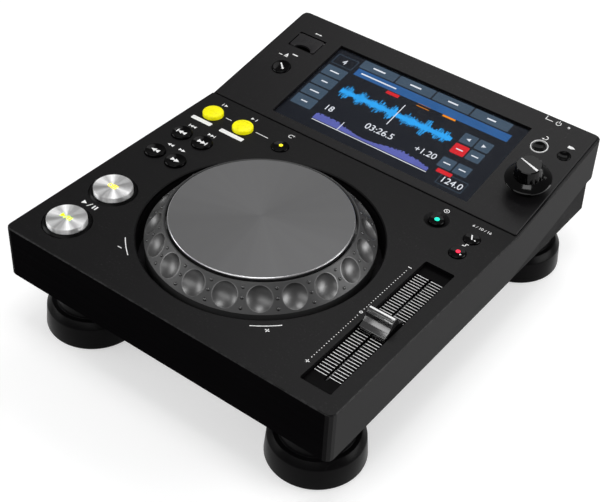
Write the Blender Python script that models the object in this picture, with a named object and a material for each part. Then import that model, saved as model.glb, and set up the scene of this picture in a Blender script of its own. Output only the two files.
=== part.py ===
"""A compact media player with a dimpled jog wheel, a tilted touch screen and a tempo slider.

Metres, +Z up. The origin is on the ground under the middle of the case.
+X is the player's right and +Y its rear. Angled parts hang on the empty head_frame,
whose X-Y plane is the top face of the head panel.
"""

import math

import bmesh
import bpy
from mathutils import Matrix, Vector

MM = 0.001
GAP = 0.3 * MM
RUNNING_GAP = 0.08 * MM
PAST = 1.0 * MM
MERGE = 0.0005 * MM

# Case
DECK_HEIGHT = 72 * MM
HEAD_DEPTH = 94 * MM
JOG_TO_FRONT = 16.1 * MM
JOG_TO_FOLD = 20.3 * MM
COLUMN_TO_JOG = 4.5 * MM
SIDE_HEIGHT = 32 * MM
REAR_OVERHANG = 8.5 * MM
HEAD_TILT = math.radians(10.5)
BACK_LEAN = 1.0 * MM
WALL = 2.4 * MM
CORNER_RADIUS = 4 * MM
EDGE_BEVEL = 0.6 * MM
GROOVE = 0.6 * MM
HEAD_RIM_DROP = 0.8 * MM
UNDER_FOLD = 5.0 * MM
LEDGE = 2.2 * MM
SHELF_STEP = 0.2 * MM

# Bottom case
PAN_DROP = 6 * MM
PAN_INSET = 8 * MM
PAN_LIP = 3 * MM
WEDGE_LAND = 1 * MM
WEDGE_INSET = 0.6 * MM
REAR_FACE_INSET = 6.4 * MM
REAR_FACE_LEAN = 1.6 * MM
POST_RADIUS = 2.5 * MM

# Head panel and screen
PANEL_INSET = 1.8 * MM
PANEL_THICKNESS = 3.0 * MM
PANEL_SEAM = 0.8 * MM
PANEL_EDGE = 0.3 * MM
SCREEN_TO_FLAP = 10.0 * MM
SCREEN_TO_BACK_RING = 5.75 * MM
SCREEN_FROM_FOLD = 7.1 * MM
SCREEN_FROM_REAR = 16.7 * MM
GLASS_RECESS = 1.6 * MM
MODULE_MARGIN = 2.5 * MM
MODULE_DEPTH = 8.3 * MM
HEAD_BOARD_FROM_REAR = 6.6 * MM
BOARD_THICKNESS = 1.6 * MM
BOARD_LIFT = 2.0 * MM
LEDGE_OPENING_SIDE = 3.8 * MM
LEDGE_OPENING_FRONT = 4.0 * MM
LEDGE_OPENING_REAR = 2.6 * MM

# Jog wheel
JOG_HEIGHT = 12.4 * MM
JOG_TOP_RADIUS = 49.8 * MM
JOG_TOP_EDGE = 0.7 * MM
JOG_TOP_THICKNESS = 2.4 * MM
JOG_TRAVEL_ROOM = 0.8 * MM
JOG_GROOVE = 1.2 * MM
SLEEVE_SHARE = 1.5
WHEEL_BORE_SHARE = 2 / 3
RIM_CREST_DROP = 1.2 * MM
RIM_CREST_WIDTH = 1.1 * MM
RIM_RUN = 10.3 * MM
RIM_FOOT_DROP = 1.0 * MM
RIM_SKIRT = 8.0 * MM
RIM_WALL = 3.8 * MM
WEB_THICKNESS = 3.0 * MM
DECK_RING_GAP = 4.4 * MM
WELL_DEPTH = 18 * MM
WELL_WALL = 2.0 * MM
WELL_FLANGE = 3.7 * MM
SHAFT_RADIUS = 6.0 * MM
DIMPLE_COUNT = 20
DIMPLE_MARGIN = 1.1 * MM
DIMPLE_DEPTH = 2.2 * MM
DIMPLE_REACH_SHARE = 1.3
DIMPLE_TURN = math.radians(1.8)
ENCODER_RADIUS = 30 * MM
ENCODER_TEETH = 24
TOOTH_ROOT_SHARE = 0.9
TOOTH_FLANK_SHARE = 0.2

# Tempo slider
SLIDER_FROM_RIGHT = 18.55 * MM
RECESS_TO_FRONT = 11.75 * MM
RECESS_TO_BUTTON = 16.25 * MM
RECESS_WIDTH = 18.3 * MM
SLOT_WIDTH = 2.0 * MM
SLOT_END = 8.1 * MM
SLOT_CORNER_SHARE = 0.45
PLATE_THICKNESS = 2.0 * MM
PLATE_MARGIN = 2.3 * MM
CAP_SIDE_GAP = 0.75 * MM
CAP_LENGTH = 16.0 * MM
CAP_FRONT_RIDGE = 4.0 * MM
CAP_REAR_RIDGE = 4.6 * MM
CAP_REAR_SHARES = ((0.62, 0.95), (0.5, 1), (0.42, 0.9))
CAP_FRONT_SHARES = ((0.15, 0.62), (0, 0.58), (-0.2, 0.66), (-0.4, 0.93), (-0.5, 1), (-0.6, 0.93))
BLADE_THICKNESS = 1.2 * MM
BLADE_LENGTH = 4.0 * MM
TRACK_WIDTH = 11 * MM
TRACK_DEPTH = 10 * MM

# Deck buttons, from the left or right side and from the front or the fold
PLAY_FROM_FRONT = 23.6 * MM
PLAY_PITCH = 35.3 * MM
PLAY_RADIUS = 11.0 * MM
RING_RADIUS = 13.5 * MM
RING_RISE = 1.0 * MM
PLAY_RISE = 3.4 * MM
OUTER_COLUMN = 15.1 * MM
COLUMN_PITCH = 15.4 * MM
SEEK_PITCH = 23.1 * MM
TRACK_TO_LOOP = 27.1 * MM
SEEK_RADIUS = 6.2 * MM
SEEK_RISE = 1.6 * MM
LOOP_IN_FROM_LEFT = 16.0 * MM
LOOP_PITCH = 22.8 * MM
LOOP_FROM_FOLD = 18.4 * MM
LOOP_RADIUS = 6.35 * MM
LOOP_RISE = 2.3 * MM
LOOP_DOME = 0.5 * MM
DOME_RADIUS_SHARE = 0.6
DOME_RISE_SHARE = 0.7
RELOOP_PITCH = 28.0 * MM
RELOOP_RADIUS = 5.3 * MM
VINYL_FROM_RIGHT = 42.2 * MM
VINYL_FROM_FOLD = 15.9 * MM
VINYL_RADIUS = 4.5 * MM
DISH_RADIUS = 7.3 * MM
DISH_DEPTH = 1.3 * MM
TEMPO_BUTTONS_FROM_RIGHT = 18.4 * MM
TEMPO_RANGE_FROM_FOLD = 17.7 * MM
TEMPO_PITCH = 14.8 * MM
TEMPO_BUTTON_RADIUS = 4.8 * MM
SMALL_RISE = 1.0 * MM
VINYL_RISE = 0.4 * MM
BUTTON_EDGE = 0.6 * MM
FLANGE = 1.0 * MM
FLANGE_THICKNESS = 1.0 * MM
STEM_RADIUS = 1.6 * MM
STEM_REACH = 2.9 * MM
SWITCH_SIZE = 5.0 * MM
SWITCH_HEIGHT = 2.6 * MM
PRESS_ROOM = 1.3 * MM

# Head controls, along the slope from the fold or the rear edge
USB_FROM_LEFT = 21.2 * MM
USB_FROM_REAR = 26.6 * MM
FLAP_WIDTH = 19.4 * MM
FLAP_LENGTH = 13.4 * MM
FLAP_THICKNESS = 1.6 * MM
FLAP_PIN_RADIUS = 0.6 * MM
FLAP_BARREL_RADIUS = 1.1 * MM
PORT_WIDTH = 13.4 * MM
PORT_LENGTH = 6.8 * MM
PORT_DEPTH = 12 * MM
PORT_BODY_DEPTH = 18 * MM
STOP_FROM_LEFT = 21.4 * MM
STOP_TO_USB = 26.9 * MM
STOP_RADIUS = 5.9 * MM
BACK_FROM_RIGHT = 26.1 * MM
BACK_FROM_REAR = 27.4 * MM
BACK_RADIUS = 4.0 * MM
BACK_RING_RADIUS = 5.35 * MM
TAG_FROM_RIGHT = 10.4 * MM
TAG_FROM_REAR = 26.6 * MM
TAG_RADIUS = 3.85 * MM
TAG_FLANGE = 0.8 * MM
LAMP_FROM_RIGHT = 19.5 * MM
LAMP_FROM_REAR = 4.8 * MM
LAMP_RADIUS = 0.8 * MM
LAMP_CROWN_SHARE = 0.7
KNOB_FROM_RIGHT = 14.7 * MM
KNOB_FROM_FOLD = 34.7 * MM
KNOB_RADIUS = 13.3 * MM
KNOB_FOOT_RADIUS = 8.2 * MM
KNOB_GRIP_RADIUS = 8.5 * MM
KNOB_TOP_RADIUS = 7.4 * MM
KNOB_HEIGHT = 18.9 * MM
KNOB_LIFT = 1.2 * MM
KNOB_BORE_SHARE = 0.72
KNOB_FLANGE_SHARE = 0.455
KNOB_NECK_SHARE = 1.16
KNOB_FLUTES = 18
FLUTE_RADIUS = 1.0 * MM
FLUTE_OFFSET_SHARE = 0.35
SELECTOR_SHAFT_RADIUS = 3.0 * MM
ENCODER_BODY = 12 * MM

# Feet
FOOT_RADIUS = 27.2 * MM
FOOT_SIDE_MARGIN = 0.8 * MM
FOOT_FRONT_MARGIN = 3.7 * MM
FOOT_REAR_MARGIN = 0.9 * MM
FOOT_BODY_HEIGHT = 14.1 * MM
FOOT_SHOULDER_HEIGHT = 17.8 * MM
FOOT_NECK_STEP = 6.7 * MM
FOOT_RECESS_RADIUS = 8.0 * MM
FOOT_TAPER_SHARE = 0.96
FOOT_SHOULDER_SHARE = 0.85
FOOT_RECESS_SHARE = 0.4

# Rear sockets
SOCKET_DEPTH = 16 * MM
SOCKET_WALL = 1.8 * MM
MOUTH_DEPTH_SHARE = 0.7
INLET_WIDTH = 20 * MM
INLET_HEIGHT = 12 * MM
INLET_MOUTH_WIDTH = 15.6 * MM
INLET_MOUTH_HEIGHT = 8.2 * MM
LINK_WIDTH = 16 * MM
LINK_HEIGHT = 13.4 * MM
LINK_MOUTH_WIDTH = 11.8 * MM
LINK_MOUTH_HEIGHT = 8.4 * MM
USB_DEVICE_WIDTH = 12 * MM
USB_DEVICE_HEIGHT = 11 * MM
USB_DEVICE_MOUTH_WIDTH = 8.8 * MM
USB_DEVICE_MOUTH_HEIGHT = 7.8 * MM
AUDIO_SLEEVE_RADIUS = 5.2 * MM
AUDIO_BARREL_SHARE = 0.8
AUDIO_BORE_SHARE = 0.42
LINK_MARGIN = 2.0 * MM
REAR_PANEL_SIDE = 13 * MM
REAR_PANEL_FOOT = 7.3 * MM
REAR_PANEL_HEAD = 1.3 * MM
REAR_PANEL_THICKNESS = 1.6 * MM
INLET_FROM_RIGHT = 32 * MM
POWER_FROM_RIGHT = 54 * MM
USB_DEVICE_FROM_MIDDLE = 10 * MM
LINK_FROM_MIDDLE = -14 * MM
AUDIO_FROM_LEFT = 52 * MM
AUDIO_PITCH = 18 * MM

JOG_RADIUS = JOG_TOP_RADIUS + JOG_GROOVE + RIM_CREST_WIDTH + RIM_RUN
JOG_OPENING = JOG_RADIUS + DECK_RING_GAP
INNER_COLUMN = OUTER_COLUMN + COLUMN_PITCH
CASE_WIDTH = 2 * (INNER_COLUMN + SEEK_RADIUS + COLUMN_TO_JOG + JOG_OPENING)
DECK_DEPTH = JOG_TO_FRONT + 2 * JOG_OPENING + JOG_TO_FOLD
CASE_DEPTH = DECK_DEPTH + HEAD_DEPTH
FRONT = -CASE_DEPTH / 2
FOLD = FRONT + DECK_DEPTH
SIDE_FOOT = DECK_HEIGHT - SIDE_HEIGHT
PAN_HEIGHT = SIDE_FOOT - PAN_DROP
REAR_PANEL_HEIGHT = LINK_HEIGHT + 2 * LINK_MARGIN
REAR_PANEL_WIDTH = CASE_WIDTH - 2 * REAR_PANEL_SIDE
SOCKET_HEIGHT = PAN_HEIGHT + REAR_PANEL_FOOT + REAR_PANEL_HEIGHT / 2
REAR_SIDE_RISE = REAR_PANEL_FOOT + REAR_PANEL_HEIGHT + REAR_PANEL_HEAD - PAN_DROP
REAR_EDGE = CASE_DEPTH / 2 - REAR_OVERHANG
SLOPE = math.tan(HEAD_TILT)
HEAD_LENGTH = (HEAD_DEPTH - BACK_LEAN) / math.cos(HEAD_TILT)
SEAT = PANEL_THICKNESS + GAP
SCREEN_LENGTH = HEAD_LENGTH - SCREEN_FROM_FOLD - SCREEN_FROM_REAR
TEMPO_RANGE_FROM_FRONT = DECK_DEPTH - TEMPO_RANGE_FROM_FOLD
MASTER_TEMPO_FROM_FRONT = TEMPO_RANGE_FROM_FRONT - TEMPO_PITCH
RECESS_LENGTH = MASTER_TEMPO_FROM_FRONT - RECESS_TO_BUTTON - RECESS_TO_FRONT
LOOP_FROM_FRONT = DECK_DEPTH - LOOP_FROM_FOLD
TRACK_FROM_FRONT = LOOP_FROM_FRONT - TRACK_TO_LOOP
SEARCH_FROM_FRONT = TRACK_FROM_FRONT - SEEK_PITCH
CUE_FROM_FRONT = PLAY_FROM_FRONT + PLAY_PITCH
LOOP_OUT_FROM_LEFT = LOOP_IN_FROM_LEFT + LOOP_PITCH
USB_FROM_FOLD = HEAD_LENGTH - USB_FROM_REAR
STOP_FROM_FOLD = USB_FROM_FOLD - STOP_TO_USB
FOOT_NECK_RADIUS = FOOT_RADIUS - FOOT_NECK_STEP

MATT_BLACK = ((0.016, 0.016, 0.018), 0.5, 0.0)
PANEL_GREY = ((0.03, 0.03, 0.033), 0.36, 0.0)
PURE_BLACK = ((0.006, 0.006, 0.007), 0.6, 0.0)
GLOSS_BLACK = ((0.008, 0.008, 0.009), 0.14, 0.0)
JOG_GREY = ((0.11, 0.11, 0.115), 0.4, 0.0)
RIM_GREY = ((0.035, 0.035, 0.038), 0.22, 0.0)
ALUMINIUM = ((0.75, 0.75, 0.76), 0.3, 1.0)
STEEL = ((0.55, 0.55, 0.57), 0.28, 1.0)
LIT_YELLOW = ((0.85, 0.78, 0.03), 0.3, 0.0)
WHITE = ((0.85, 0.85, 0.85), 0.4, 0.0)
RUBBER = ((0.012, 0.012, 0.013), 0.75, 0.0)
GLASS = ((0.02, 0.022, 0.03), 0.05, 0.0)
SCREEN = ((0.02, 0.05, 0.12), 0.3, 0.0)
BOARD_GREEN = ((0.02, 0.12, 0.05), 0.45, 0.0)

FINE_STEPS = 36
ROUND_STEPS = 18
SMALL_STEPS = 12
PIN_STEPS = 8
CORNER_STEPS = 3


def clear_scene():
    for obj in list(bpy.data.objects):
        bpy.data.objects.remove(obj)


def from_left(distance):
    return distance - CASE_WIDTH / 2


def from_right(distance):
    return CASE_WIDTH / 2 - distance


def from_front(distance):
    return FRONT + distance


def paint(name, finish):
    colour, roughness, metallic = finish
    material = bpy.data.materials.new(name)
    material.use_nodes = True
    shader = material.node_tree.nodes["Principled BSDF"]
    shader.inputs["Base Color"].default_value = (*colour, 1.0)
    shader.inputs["Roughness"].default_value = roughness
    shader.inputs["Metallic"].default_value = metallic
    return material


def to_object(name, shape, parent=None, location=(0, 0, 0)):
    bmesh.ops.recalc_face_normals(shape, faces=shape.faces)
    mesh = bpy.data.meshes.new(name)
    shape.to_mesh(mesh)
    shape.free()
    obj = bpy.data.objects.new(name, mesh)
    bpy.context.scene.collection.objects.link(obj)
    obj.parent = parent
    obj.location = location
    return obj


def place(name, shape, finish, parent=None, location=(0, 0, 0), smooth=True):
    """Turns a shape into a sub-part with its own material."""
    obj = to_object(name, shape, parent, location)
    obj.data.materials.append(paint(name, finish))
    if smooth:
        obj.data.shade_smooth()
        obj.data.set_sharp_from_angle(angle=math.radians(30))
    return obj


def gather(shapes):
    """Puts several closed shapes that don't touch into one bmesh."""
    whole = bmesh.new()
    for shape in shapes:
        bmesh.ops.recalc_face_normals(shape, faces=shape.faces)
        mesh = bpy.data.meshes.new("shape")
        shape.to_mesh(mesh)
        shape.free()
        whole.from_mesh(mesh)
        bpy.data.meshes.remove(mesh)
    return whole


def combine(target, name, shapes, operation="DIFFERENCE", parent=None, location=(0, 0, 0)):
    """Cuts or joins shapes, held by a hidden helper object, with the target."""
    helper = to_object(name, gather(shapes), parent, location)
    helper.hide_render = True
    helper.display_type = "WIRE"
    modifier = target.modifiers.new(name, "BOOLEAN")
    modifier.operation = operation
    modifier.solver = "EXACT"
    modifier.object = helper
    return helper


def turned(profile, steps, x=0, y=0, z=0):
    """Spins a (radius, height) profile round Z. A profile that leaves the axis is a ring."""
    shape = bmesh.new()
    verts = [shape.verts.new((radius, 0, height)) for radius, height in profile]
    edges = [shape.edges.new(pair) for pair in zip(verts, verts[1:])]
    if profile[0][0] > 0:
        edges.append(shape.edges.new((verts[-1], verts[0])))
    bmesh.ops.spin(
        shape, geom=verts + edges, cent=(0, 0, 0), axis=(0, 0, 1),
        angle=2 * math.pi, steps=steps, use_merge=True,
    )
    bmesh.ops.remove_doubles(shape, verts=shape.verts, dist=MERGE)
    bmesh.ops.translate(shape, verts=shape.verts, vec=(x, y, z))
    return shape


def disc(radius, low, high, steps, x=0, y=0):
    return turned([(0, high), (radius, high), (radius, low), (0, low)], steps, x, y)


def block(low, high):
    """A box between two corners."""
    size = Vector(high) - Vector(low)
    middle = (Vector(high) + Vector(low)) / 2
    shape = bmesh.new()
    bmesh.ops.create_cube(shape, size=1, matrix=Matrix.Translation(middle) @ Matrix.Diagonal((*size, 1)))
    return shape


def centred_block(x, y, width, length, low, high):
    return block((x - width / 2, y - length / 2, low), (x + width / 2, y + length / 2, high))


def rounded_outline(width, length, radius, steps, x=0, y=0):
    """Corner points of a rounded rectangle, counterclockwise."""
    outline = []
    quarters = [(1, -1), (1, 1), (-1, 1), (-1, -1)]
    for quarter, (side_x, side_y) in enumerate(quarters):
        centre_x = x + side_x * (width / 2 - radius)
        centre_y = y + side_y * (length / 2 - radius)
        for step in range(steps + 1):
            angle = math.radians(90) * (quarter - 1 + step / steps)
            outline.append((centre_x + radius * math.cos(angle), centre_y + radius * math.sin(angle)))
    return outline


def slab(outline, low, high):
    """Extrudes a flat outline from one height to another."""
    shape = bmesh.new()
    face = shape.faces.new([shape.verts.new((x, y, low)) for x, y in outline])
    made = bmesh.ops.extrude_face_region(shape, geom=[face])
    moved = [item for item in made["geom"] if isinstance(item, bmesh.types.BMVert)]
    bmesh.ops.translate(shape, verts=moved, vec=(0, 0, high - low))
    return shape


def side_slab(outline, width, x=0):
    """Extrudes a side view, given as (y, z) points, across the width."""
    shape = bmesh.new()
    face = shape.faces.new([shape.verts.new((x - width / 2, y, z)) for y, z in outline])
    made = bmesh.ops.extrude_face_region(shape, geom=[face])
    moved = [item for item in made["geom"] if isinstance(item, bmesh.types.BMVert)]
    bmesh.ops.translate(shape, verts=moved, vec=(width, 0, 0))
    return shape


def add_ring(shape, points):
    return [shape.verts.new(point) for point in points]


def join_rings(shape, lower, upper):
    for index in range(len(lower)):
        after = (index + 1) % len(lower)
        shape.faces.new((lower[index], lower[after], upper[after], upper[index]))


def lofted(rings):
    """Skins rings of equal count and closes both ends."""
    shape = bmesh.new()
    made = [add_ring(shape, ring) for ring in rings]
    for lower, upper in zip(made, made[1:]):
        join_rings(shape, lower, upper)
    shape.faces.new(made[0])
    shape.faces.new(made[-1])
    return shape


def along_y(shape, x, y, z):
    """Lays a shape that was built along +Z so that it points to the rear, +Y."""
    bmesh.ops.rotate(shape, verts=shape.verts, cent=(0, 0, 0), matrix=Matrix.Rotation(-math.pi / 2, 3, "X"))
    bmesh.ops.translate(shape, verts=shape.verts, vec=(x, y, z))
    return shape


def along_x(shape, x, y, z):
    bmesh.ops.rotate(shape, verts=shape.verts, cent=(0, 0, 0), matrix=Matrix.Rotation(math.pi / 2, 3, "Y"))
    bmesh.ops.translate(shape, verts=shape.verts, vec=(x, y, z))
    return shape


def side_foot(y):
    """Height of the side wall's lower edge: level under the deck, rising under the head."""
    share = min(max((y - FOLD) / (REAR_EDGE - FOLD), 0), 1)
    return SIDE_FOOT + REAR_SIDE_RISE * share


def roof(y):
    """Height of the case's top: the deck, then the rim round the head panel."""
    if y <= FOLD - GROOVE:
        return DECK_HEIGHT
    return DECK_HEIGHT - HEAD_RIM_DROP / math.cos(HEAD_TILT) + (y - FOLD) * SLOPE


def ceiling(y):
    """Height of the case's inner face under the deck and under the head's ledge."""
    if y <= FOLD - UNDER_FOLD:
        return DECK_HEIGHT - WALL
    return DECK_HEIGHT - (SEAT + LEDGE) / math.cos(HEAD_TILT) + (y - FOLD) * SLOPE


def case_ring(inset, breaks, height, drop=0, lean=0):
    """One ring round the case. Extra points at the breaks let the top fold."""
    radius = max(CORNER_RADIUS - inset, CORNER_RADIUS / 4)
    plan = rounded_outline(CASE_WIDTH - 2 * inset, CASE_DEPTH - 2 * inset, radius, CORNER_STEPS)
    corner = CORNER_STEPS + 1
    half = CASE_WIDTH / 2 - inset
    plan = (
        plan[:corner] + [(half, y) for y in breaks]
        + plan[corner:3 * corner] + [(-half, y) for y in reversed(breaks)]
        + plan[3 * corner:]
    )
    ring = []
    for x, y in plan:
        leaned = y - lean * max(0, (y - REAR_EDGE) / REAR_OVERHANG)
        ring.append((x, leaned, height(leaned) - drop))
    return ring


def fold_cap(shape, ring, first, second):
    """Closes a ring with three flat faces that meet along two folds."""
    near = MERGE
    shape.faces.new([v for v in ring if v.co.y <= first + near])
    shape.faces.new([v for v in ring if first - near <= v.co.y <= second + near])
    shape.faces.new([v for v in ring if v.co.y >= second - near])


def jog_centre():
    return 0, from_front(JOG_TO_FRONT + JOG_OPENING)


def slider_centre():
    return from_right(SLIDER_FROM_RIGHT), from_front(RECESS_TO_FRONT + RECESS_LENGTH / 2)


def deck_buttons():
    """Place and hole radius of each round button that comes up through the deck."""
    return [
        (from_left(OUTER_COLUMN), from_front(SEARCH_FROM_FRONT), SEEK_RADIUS),
        (from_left(INNER_COLUMN), from_front(SEARCH_FROM_FRONT), SEEK_RADIUS),
        (from_left(OUTER_COLUMN), from_front(TRACK_FROM_FRONT), SEEK_RADIUS),
        (from_left(INNER_COLUMN), from_front(TRACK_FROM_FRONT), SEEK_RADIUS),
        (from_left(LOOP_IN_FROM_LEFT), from_front(LOOP_FROM_FRONT), LOOP_RADIUS),
        (from_left(LOOP_OUT_FROM_LEFT), from_front(LOOP_FROM_FRONT), LOOP_RADIUS),
        (*reloop_place(), RELOOP_RADIUS),
        (from_right(TEMPO_BUTTONS_FROM_RIGHT), from_front(TEMPO_RANGE_FROM_FRONT), TEMPO_BUTTON_RADIUS),
        (from_right(TEMPO_BUTTONS_FROM_RIGHT), from_front(MASTER_TEMPO_FROM_FRONT), TEMPO_BUTTON_RADIUS),
    ]


def reloop_place():
    return from_left(LOOP_OUT_FROM_LEFT + RELOOP_PITCH), from_front(LOOP_FROM_FRONT)


def play_places():
    """Play and cue stand midway between the two columns of small buttons."""
    x = from_left((OUTER_COLUMN + INNER_COLUMN) / 2)
    return [(x, from_front(PLAY_FROM_FRONT)), (x, from_front(CUE_FROM_FRONT))]


def vinyl_place():
    return from_right(VINYL_FROM_RIGHT), FOLD - VINYL_FROM_FOLD


def board_posts():
    """Middles of the posts that carry the control board, clear of the buttons."""
    left = (from_left(OUTER_COLUMN) + from_left(0)) / 2
    beside_search = from_front((SEARCH_FROM_FRONT + CUE_FROM_FRONT) / 2)
    behind_loops = FOLD - UNDER_FOLD - 2 * POST_RADIUS
    return [
        (left, beside_search + POST_RADIUS),
        (left, behind_loops + POST_RADIUS / 2),
        (0, behind_loops),
        (-left, behind_loops + POST_RADIUS / 2),
    ]


def make_top_case(head_frame):
    outer_breaks = [FOLD - GROOVE, FOLD, REAR_EDGE]
    inner_breaks = [FOLD - UNDER_FOLD, FOLD - UNDER_FOLD + GROOVE, REAR_EDGE]
    shape = bmesh.new()
    rings = [
        case_ring(WALL, inner_breaks, ceiling),
        case_ring(WALL, outer_breaks, side_foot),
        case_ring(0, outer_breaks, side_foot),
        case_ring(0, outer_breaks, roof, EDGE_BEVEL, BACK_LEAN),
        case_ring(EDGE_BEVEL, outer_breaks, roof, 0, BACK_LEAN),
    ]
    made = [add_ring(shape, ring) for ring in rings]
    for lower, upper in zip(made, made[1:]):
        join_rings(shape, lower, upper)
    fold_cap(shape, made[0], inner_breaks[0], inner_breaks[1])
    fold_cap(shape, made[-1], outer_breaks[0], outer_breaks[1])
    case = place("top_case", shape, MATT_BLACK)

    shelf_low = SIDE_FOOT + REAR_SIDE_RISE + SHELF_STEP
    shelf = block(
        (WALL / 2 - CASE_WIDTH / 2, REAR_EDGE, shelf_low),
        (CASE_WIDTH / 2 - WALL / 2, CASE_DEPTH / 2 - WALL / 2, shelf_low + WALL),
    )
    combine(case, "rear_shelf", [shelf], "UNION")
    post_foot = DECK_HEIGHT - control_board_drop() + GAP
    posts = [
        disc(POST_RADIUS, post_foot, DECK_HEIGHT - WALL / 2, PIN_STEPS, x, y)
        for x, y in board_posts()
    ]
    combine(case, "deck_posts", posts, "UNION")

    low = DECK_HEIGHT - WALL - PAST
    high = DECK_HEIGHT + PAST
    openings = [disc(radius + GAP, low, high, ROUND_STEPS, x, y) for x, y, radius in deck_buttons()]
    openings += [disc(RING_RADIUS + GAP, low, high, ROUND_STEPS, x, y) for x, y in play_places()]
    openings.append(disc(JOG_OPENING, low, high, FINE_STEPS, *jog_centre()))
    slider_x, slider_y = slider_centre()
    recess = rounded_outline(RECESS_WIDTH, RECESS_LENGTH, CORNER_RADIUS / 4, 3, slider_x, slider_y)
    openings.append(slab(recess, low, high))
    hole = VINYL_RADIUS + GAP
    spread = (DISH_RADIUS - hole) / DISH_DEPTH
    dish = [
        (0, high), (DISH_RADIUS + PAST * spread, high),
        (hole, DECK_HEIGHT - DISH_DEPTH), (hole, low), (0, low),
    ]
    openings.append(turned(dish, ROUND_STEPS, *vinyl_place()))
    combine(case, "deck_openings", openings)

    seat_length = HEAD_LENGTH - PANEL_INSET - PANEL_SEAM + 2 * GAP
    seat_middle = PANEL_SEAM - GAP + seat_length / 2
    seat_outline = rounded_outline(
        CASE_WIDTH - 2 * PANEL_INSET + 2 * GAP, seat_length, PANEL_SEAM, 3, 0, seat_middle
    )
    combine(case, "head_seat", [slab(seat_outline, -SEAT, PAST)], parent=head_frame)
    through = block(
        (LEDGE_OPENING_SIDE - CASE_WIDTH / 2, LEDGE_OPENING_FRONT, -SEAT - LEDGE - 2 * PAST),
        (CASE_WIDTH / 2 - LEDGE_OPENING_SIDE, HEAD_LENGTH - LEDGE_OPENING_REAR, -SEAT + PAST),
    )
    combine(case, "head_opening", [through], parent=head_frame)


def rear_face(z):
    """Where the bottom case's rear face lies at a height: it leans a little forward going up."""
    top = side_foot(REAR_EDGE)
    share = (top - z) / (top - SIDE_FOOT)
    return CASE_DEPTH / 2 - REAR_FACE_INSET - REAR_FACE_LEAN + REAR_FACE_LEAN * share - GAP


def rectangle_ring(half_x, front, rear, z, radius=PANEL_EDGE):
    outline = rounded_outline(2 * half_x, rear - front, radius, 3, 0, (front + rear) / 2)
    return [(x, y, z) for x, y in outline]


def make_bottom_case():
    """Returns the depth of the inner rear face, which the rear panel and its sockets take."""
    floor_half = CASE_WIDTH / 2 - PAN_INSET
    lip_inset = WALL + GAP
    lip_half = CASE_WIDTH / 2 - lip_inset
    rim_height = SIDE_FOOT - WEDGE_INSET
    rear_low = rear_face(PAN_HEIGHT)
    pan = lofted([
        rectangle_ring(floor_half, FRONT + PAN_INSET, FOLD, PAN_HEIGHT, CORNER_RADIUS),
        rectangle_ring(lip_half, FRONT + lip_inset, FOLD, rim_height, CORNER_RADIUS),
        rectangle_ring(lip_half, FRONT + lip_inset, FOLD, SIDE_FOOT + PAN_LIP, CORNER_RADIUS),
    ])
    case = place("bottom_case", pan, PURE_BLACK, smooth=False)

    wedge_half = CASE_WIDTH / 2 - WEDGE_INSET
    wedge_front = FOLD + GAP
    seam = side_foot(REAR_EDGE) - GAP
    sections = []
    for x, foot in [
        (-wedge_half, SIDE_FOOT - WEDGE_LAND), (-floor_half, PAN_HEIGHT),
        (floor_half, PAN_HEIGHT), (wedge_half, SIDE_FOOT - WEDGE_LAND),
    ]:
        sections.append([
            (x, wedge_front - PAST, foot),
            (x, wedge_front - PAST, SIDE_FOOT - GAP),
            (x, wedge_front, SIDE_FOOT - GAP),
            (x, REAR_EDGE - GAP, seam),
            (x, rear_face(seam), seam),
            (x, rear_face(foot), foot),
        ])
    combine(case, "rear_wedge", [lofted(sections)], "UNION")
    lip = [
        (FOLD - PAST, SIDE_FOOT - PAN_LIP),
        (FOLD - PAST, SIDE_FOOT + PAN_LIP),
        (FOLD, SIDE_FOOT + PAN_LIP),
        (REAR_EDGE - 2 * PAN_LIP, side_foot(REAR_EDGE - 2 * PAN_LIP) + PAN_LIP),
        (REAR_EDGE - 2 * PAN_LIP, SIDE_FOOT - PAN_LIP),
    ]
    combine(case, "rear_lip", [side_slab(lip, 2 * lip_half)], "UNION")

    inner_half = lip_half - WALL
    inner_front = FRONT + lip_inset + WALL
    inner_rear = rear_face(seam) - WALL
    hollow = lofted([
        rectangle_ring(floor_half - WALL, FRONT + PAN_INSET + WALL, inner_rear, PAN_HEIGHT + WALL),
        rectangle_ring(inner_half, inner_front, inner_rear, rim_height + WALL),
        rectangle_ring(inner_half, inner_front, inner_rear, DECK_HEIGHT),
    ])
    combine(case, "bottom_hollow", [hollow])
    window = block(
        (-REAR_PANEL_WIDTH / 2 - GAP, inner_rear - PAST, SOCKET_HEIGHT - REAR_PANEL_HEIGHT / 2 - GAP),
        (REAR_PANEL_WIDTH / 2 + GAP, rear_low + PAST, SOCKET_HEIGHT + REAR_PANEL_HEIGHT / 2 + GAP),
    )
    combine(case, "rear_window", [window])
    post_top = floor_board_height() - GAP
    posts = [
        disc(POST_RADIUS, PAN_HEIGHT + WALL / 2, post_top, PIN_STEPS, x, y)
        for x, y in floor_posts()
    ]
    combine(case, "floor_posts", posts, "UNION")
    return inner_rear


def floor_board_height():
    return PAN_HEIGHT + WALL + BOARD_LIFT


def main_board_span():
    return from_left(3 * PAN_INSET / 2), from_right(POWER_FROM_RIGHT) / 2


def supply_board_span():
    return from_right(POWER_FROM_RIGHT) / 2 + POST_RADIUS, from_right(3 * PAN_INSET / 2)


def floor_posts():
    """Middles of the posts on the floor, one near each end of the two boards."""
    spots = []
    for low, high in [main_board_span(), supply_board_span()]:
        for x in (low + 2 * POST_RADIUS, high - 2 * POST_RADIUS):
            for y in (FOLD + 4 * POST_RADIUS, REAR_EDGE - 10 * POST_RADIUS):
                spots.append((x, y))
    return spots


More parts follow.
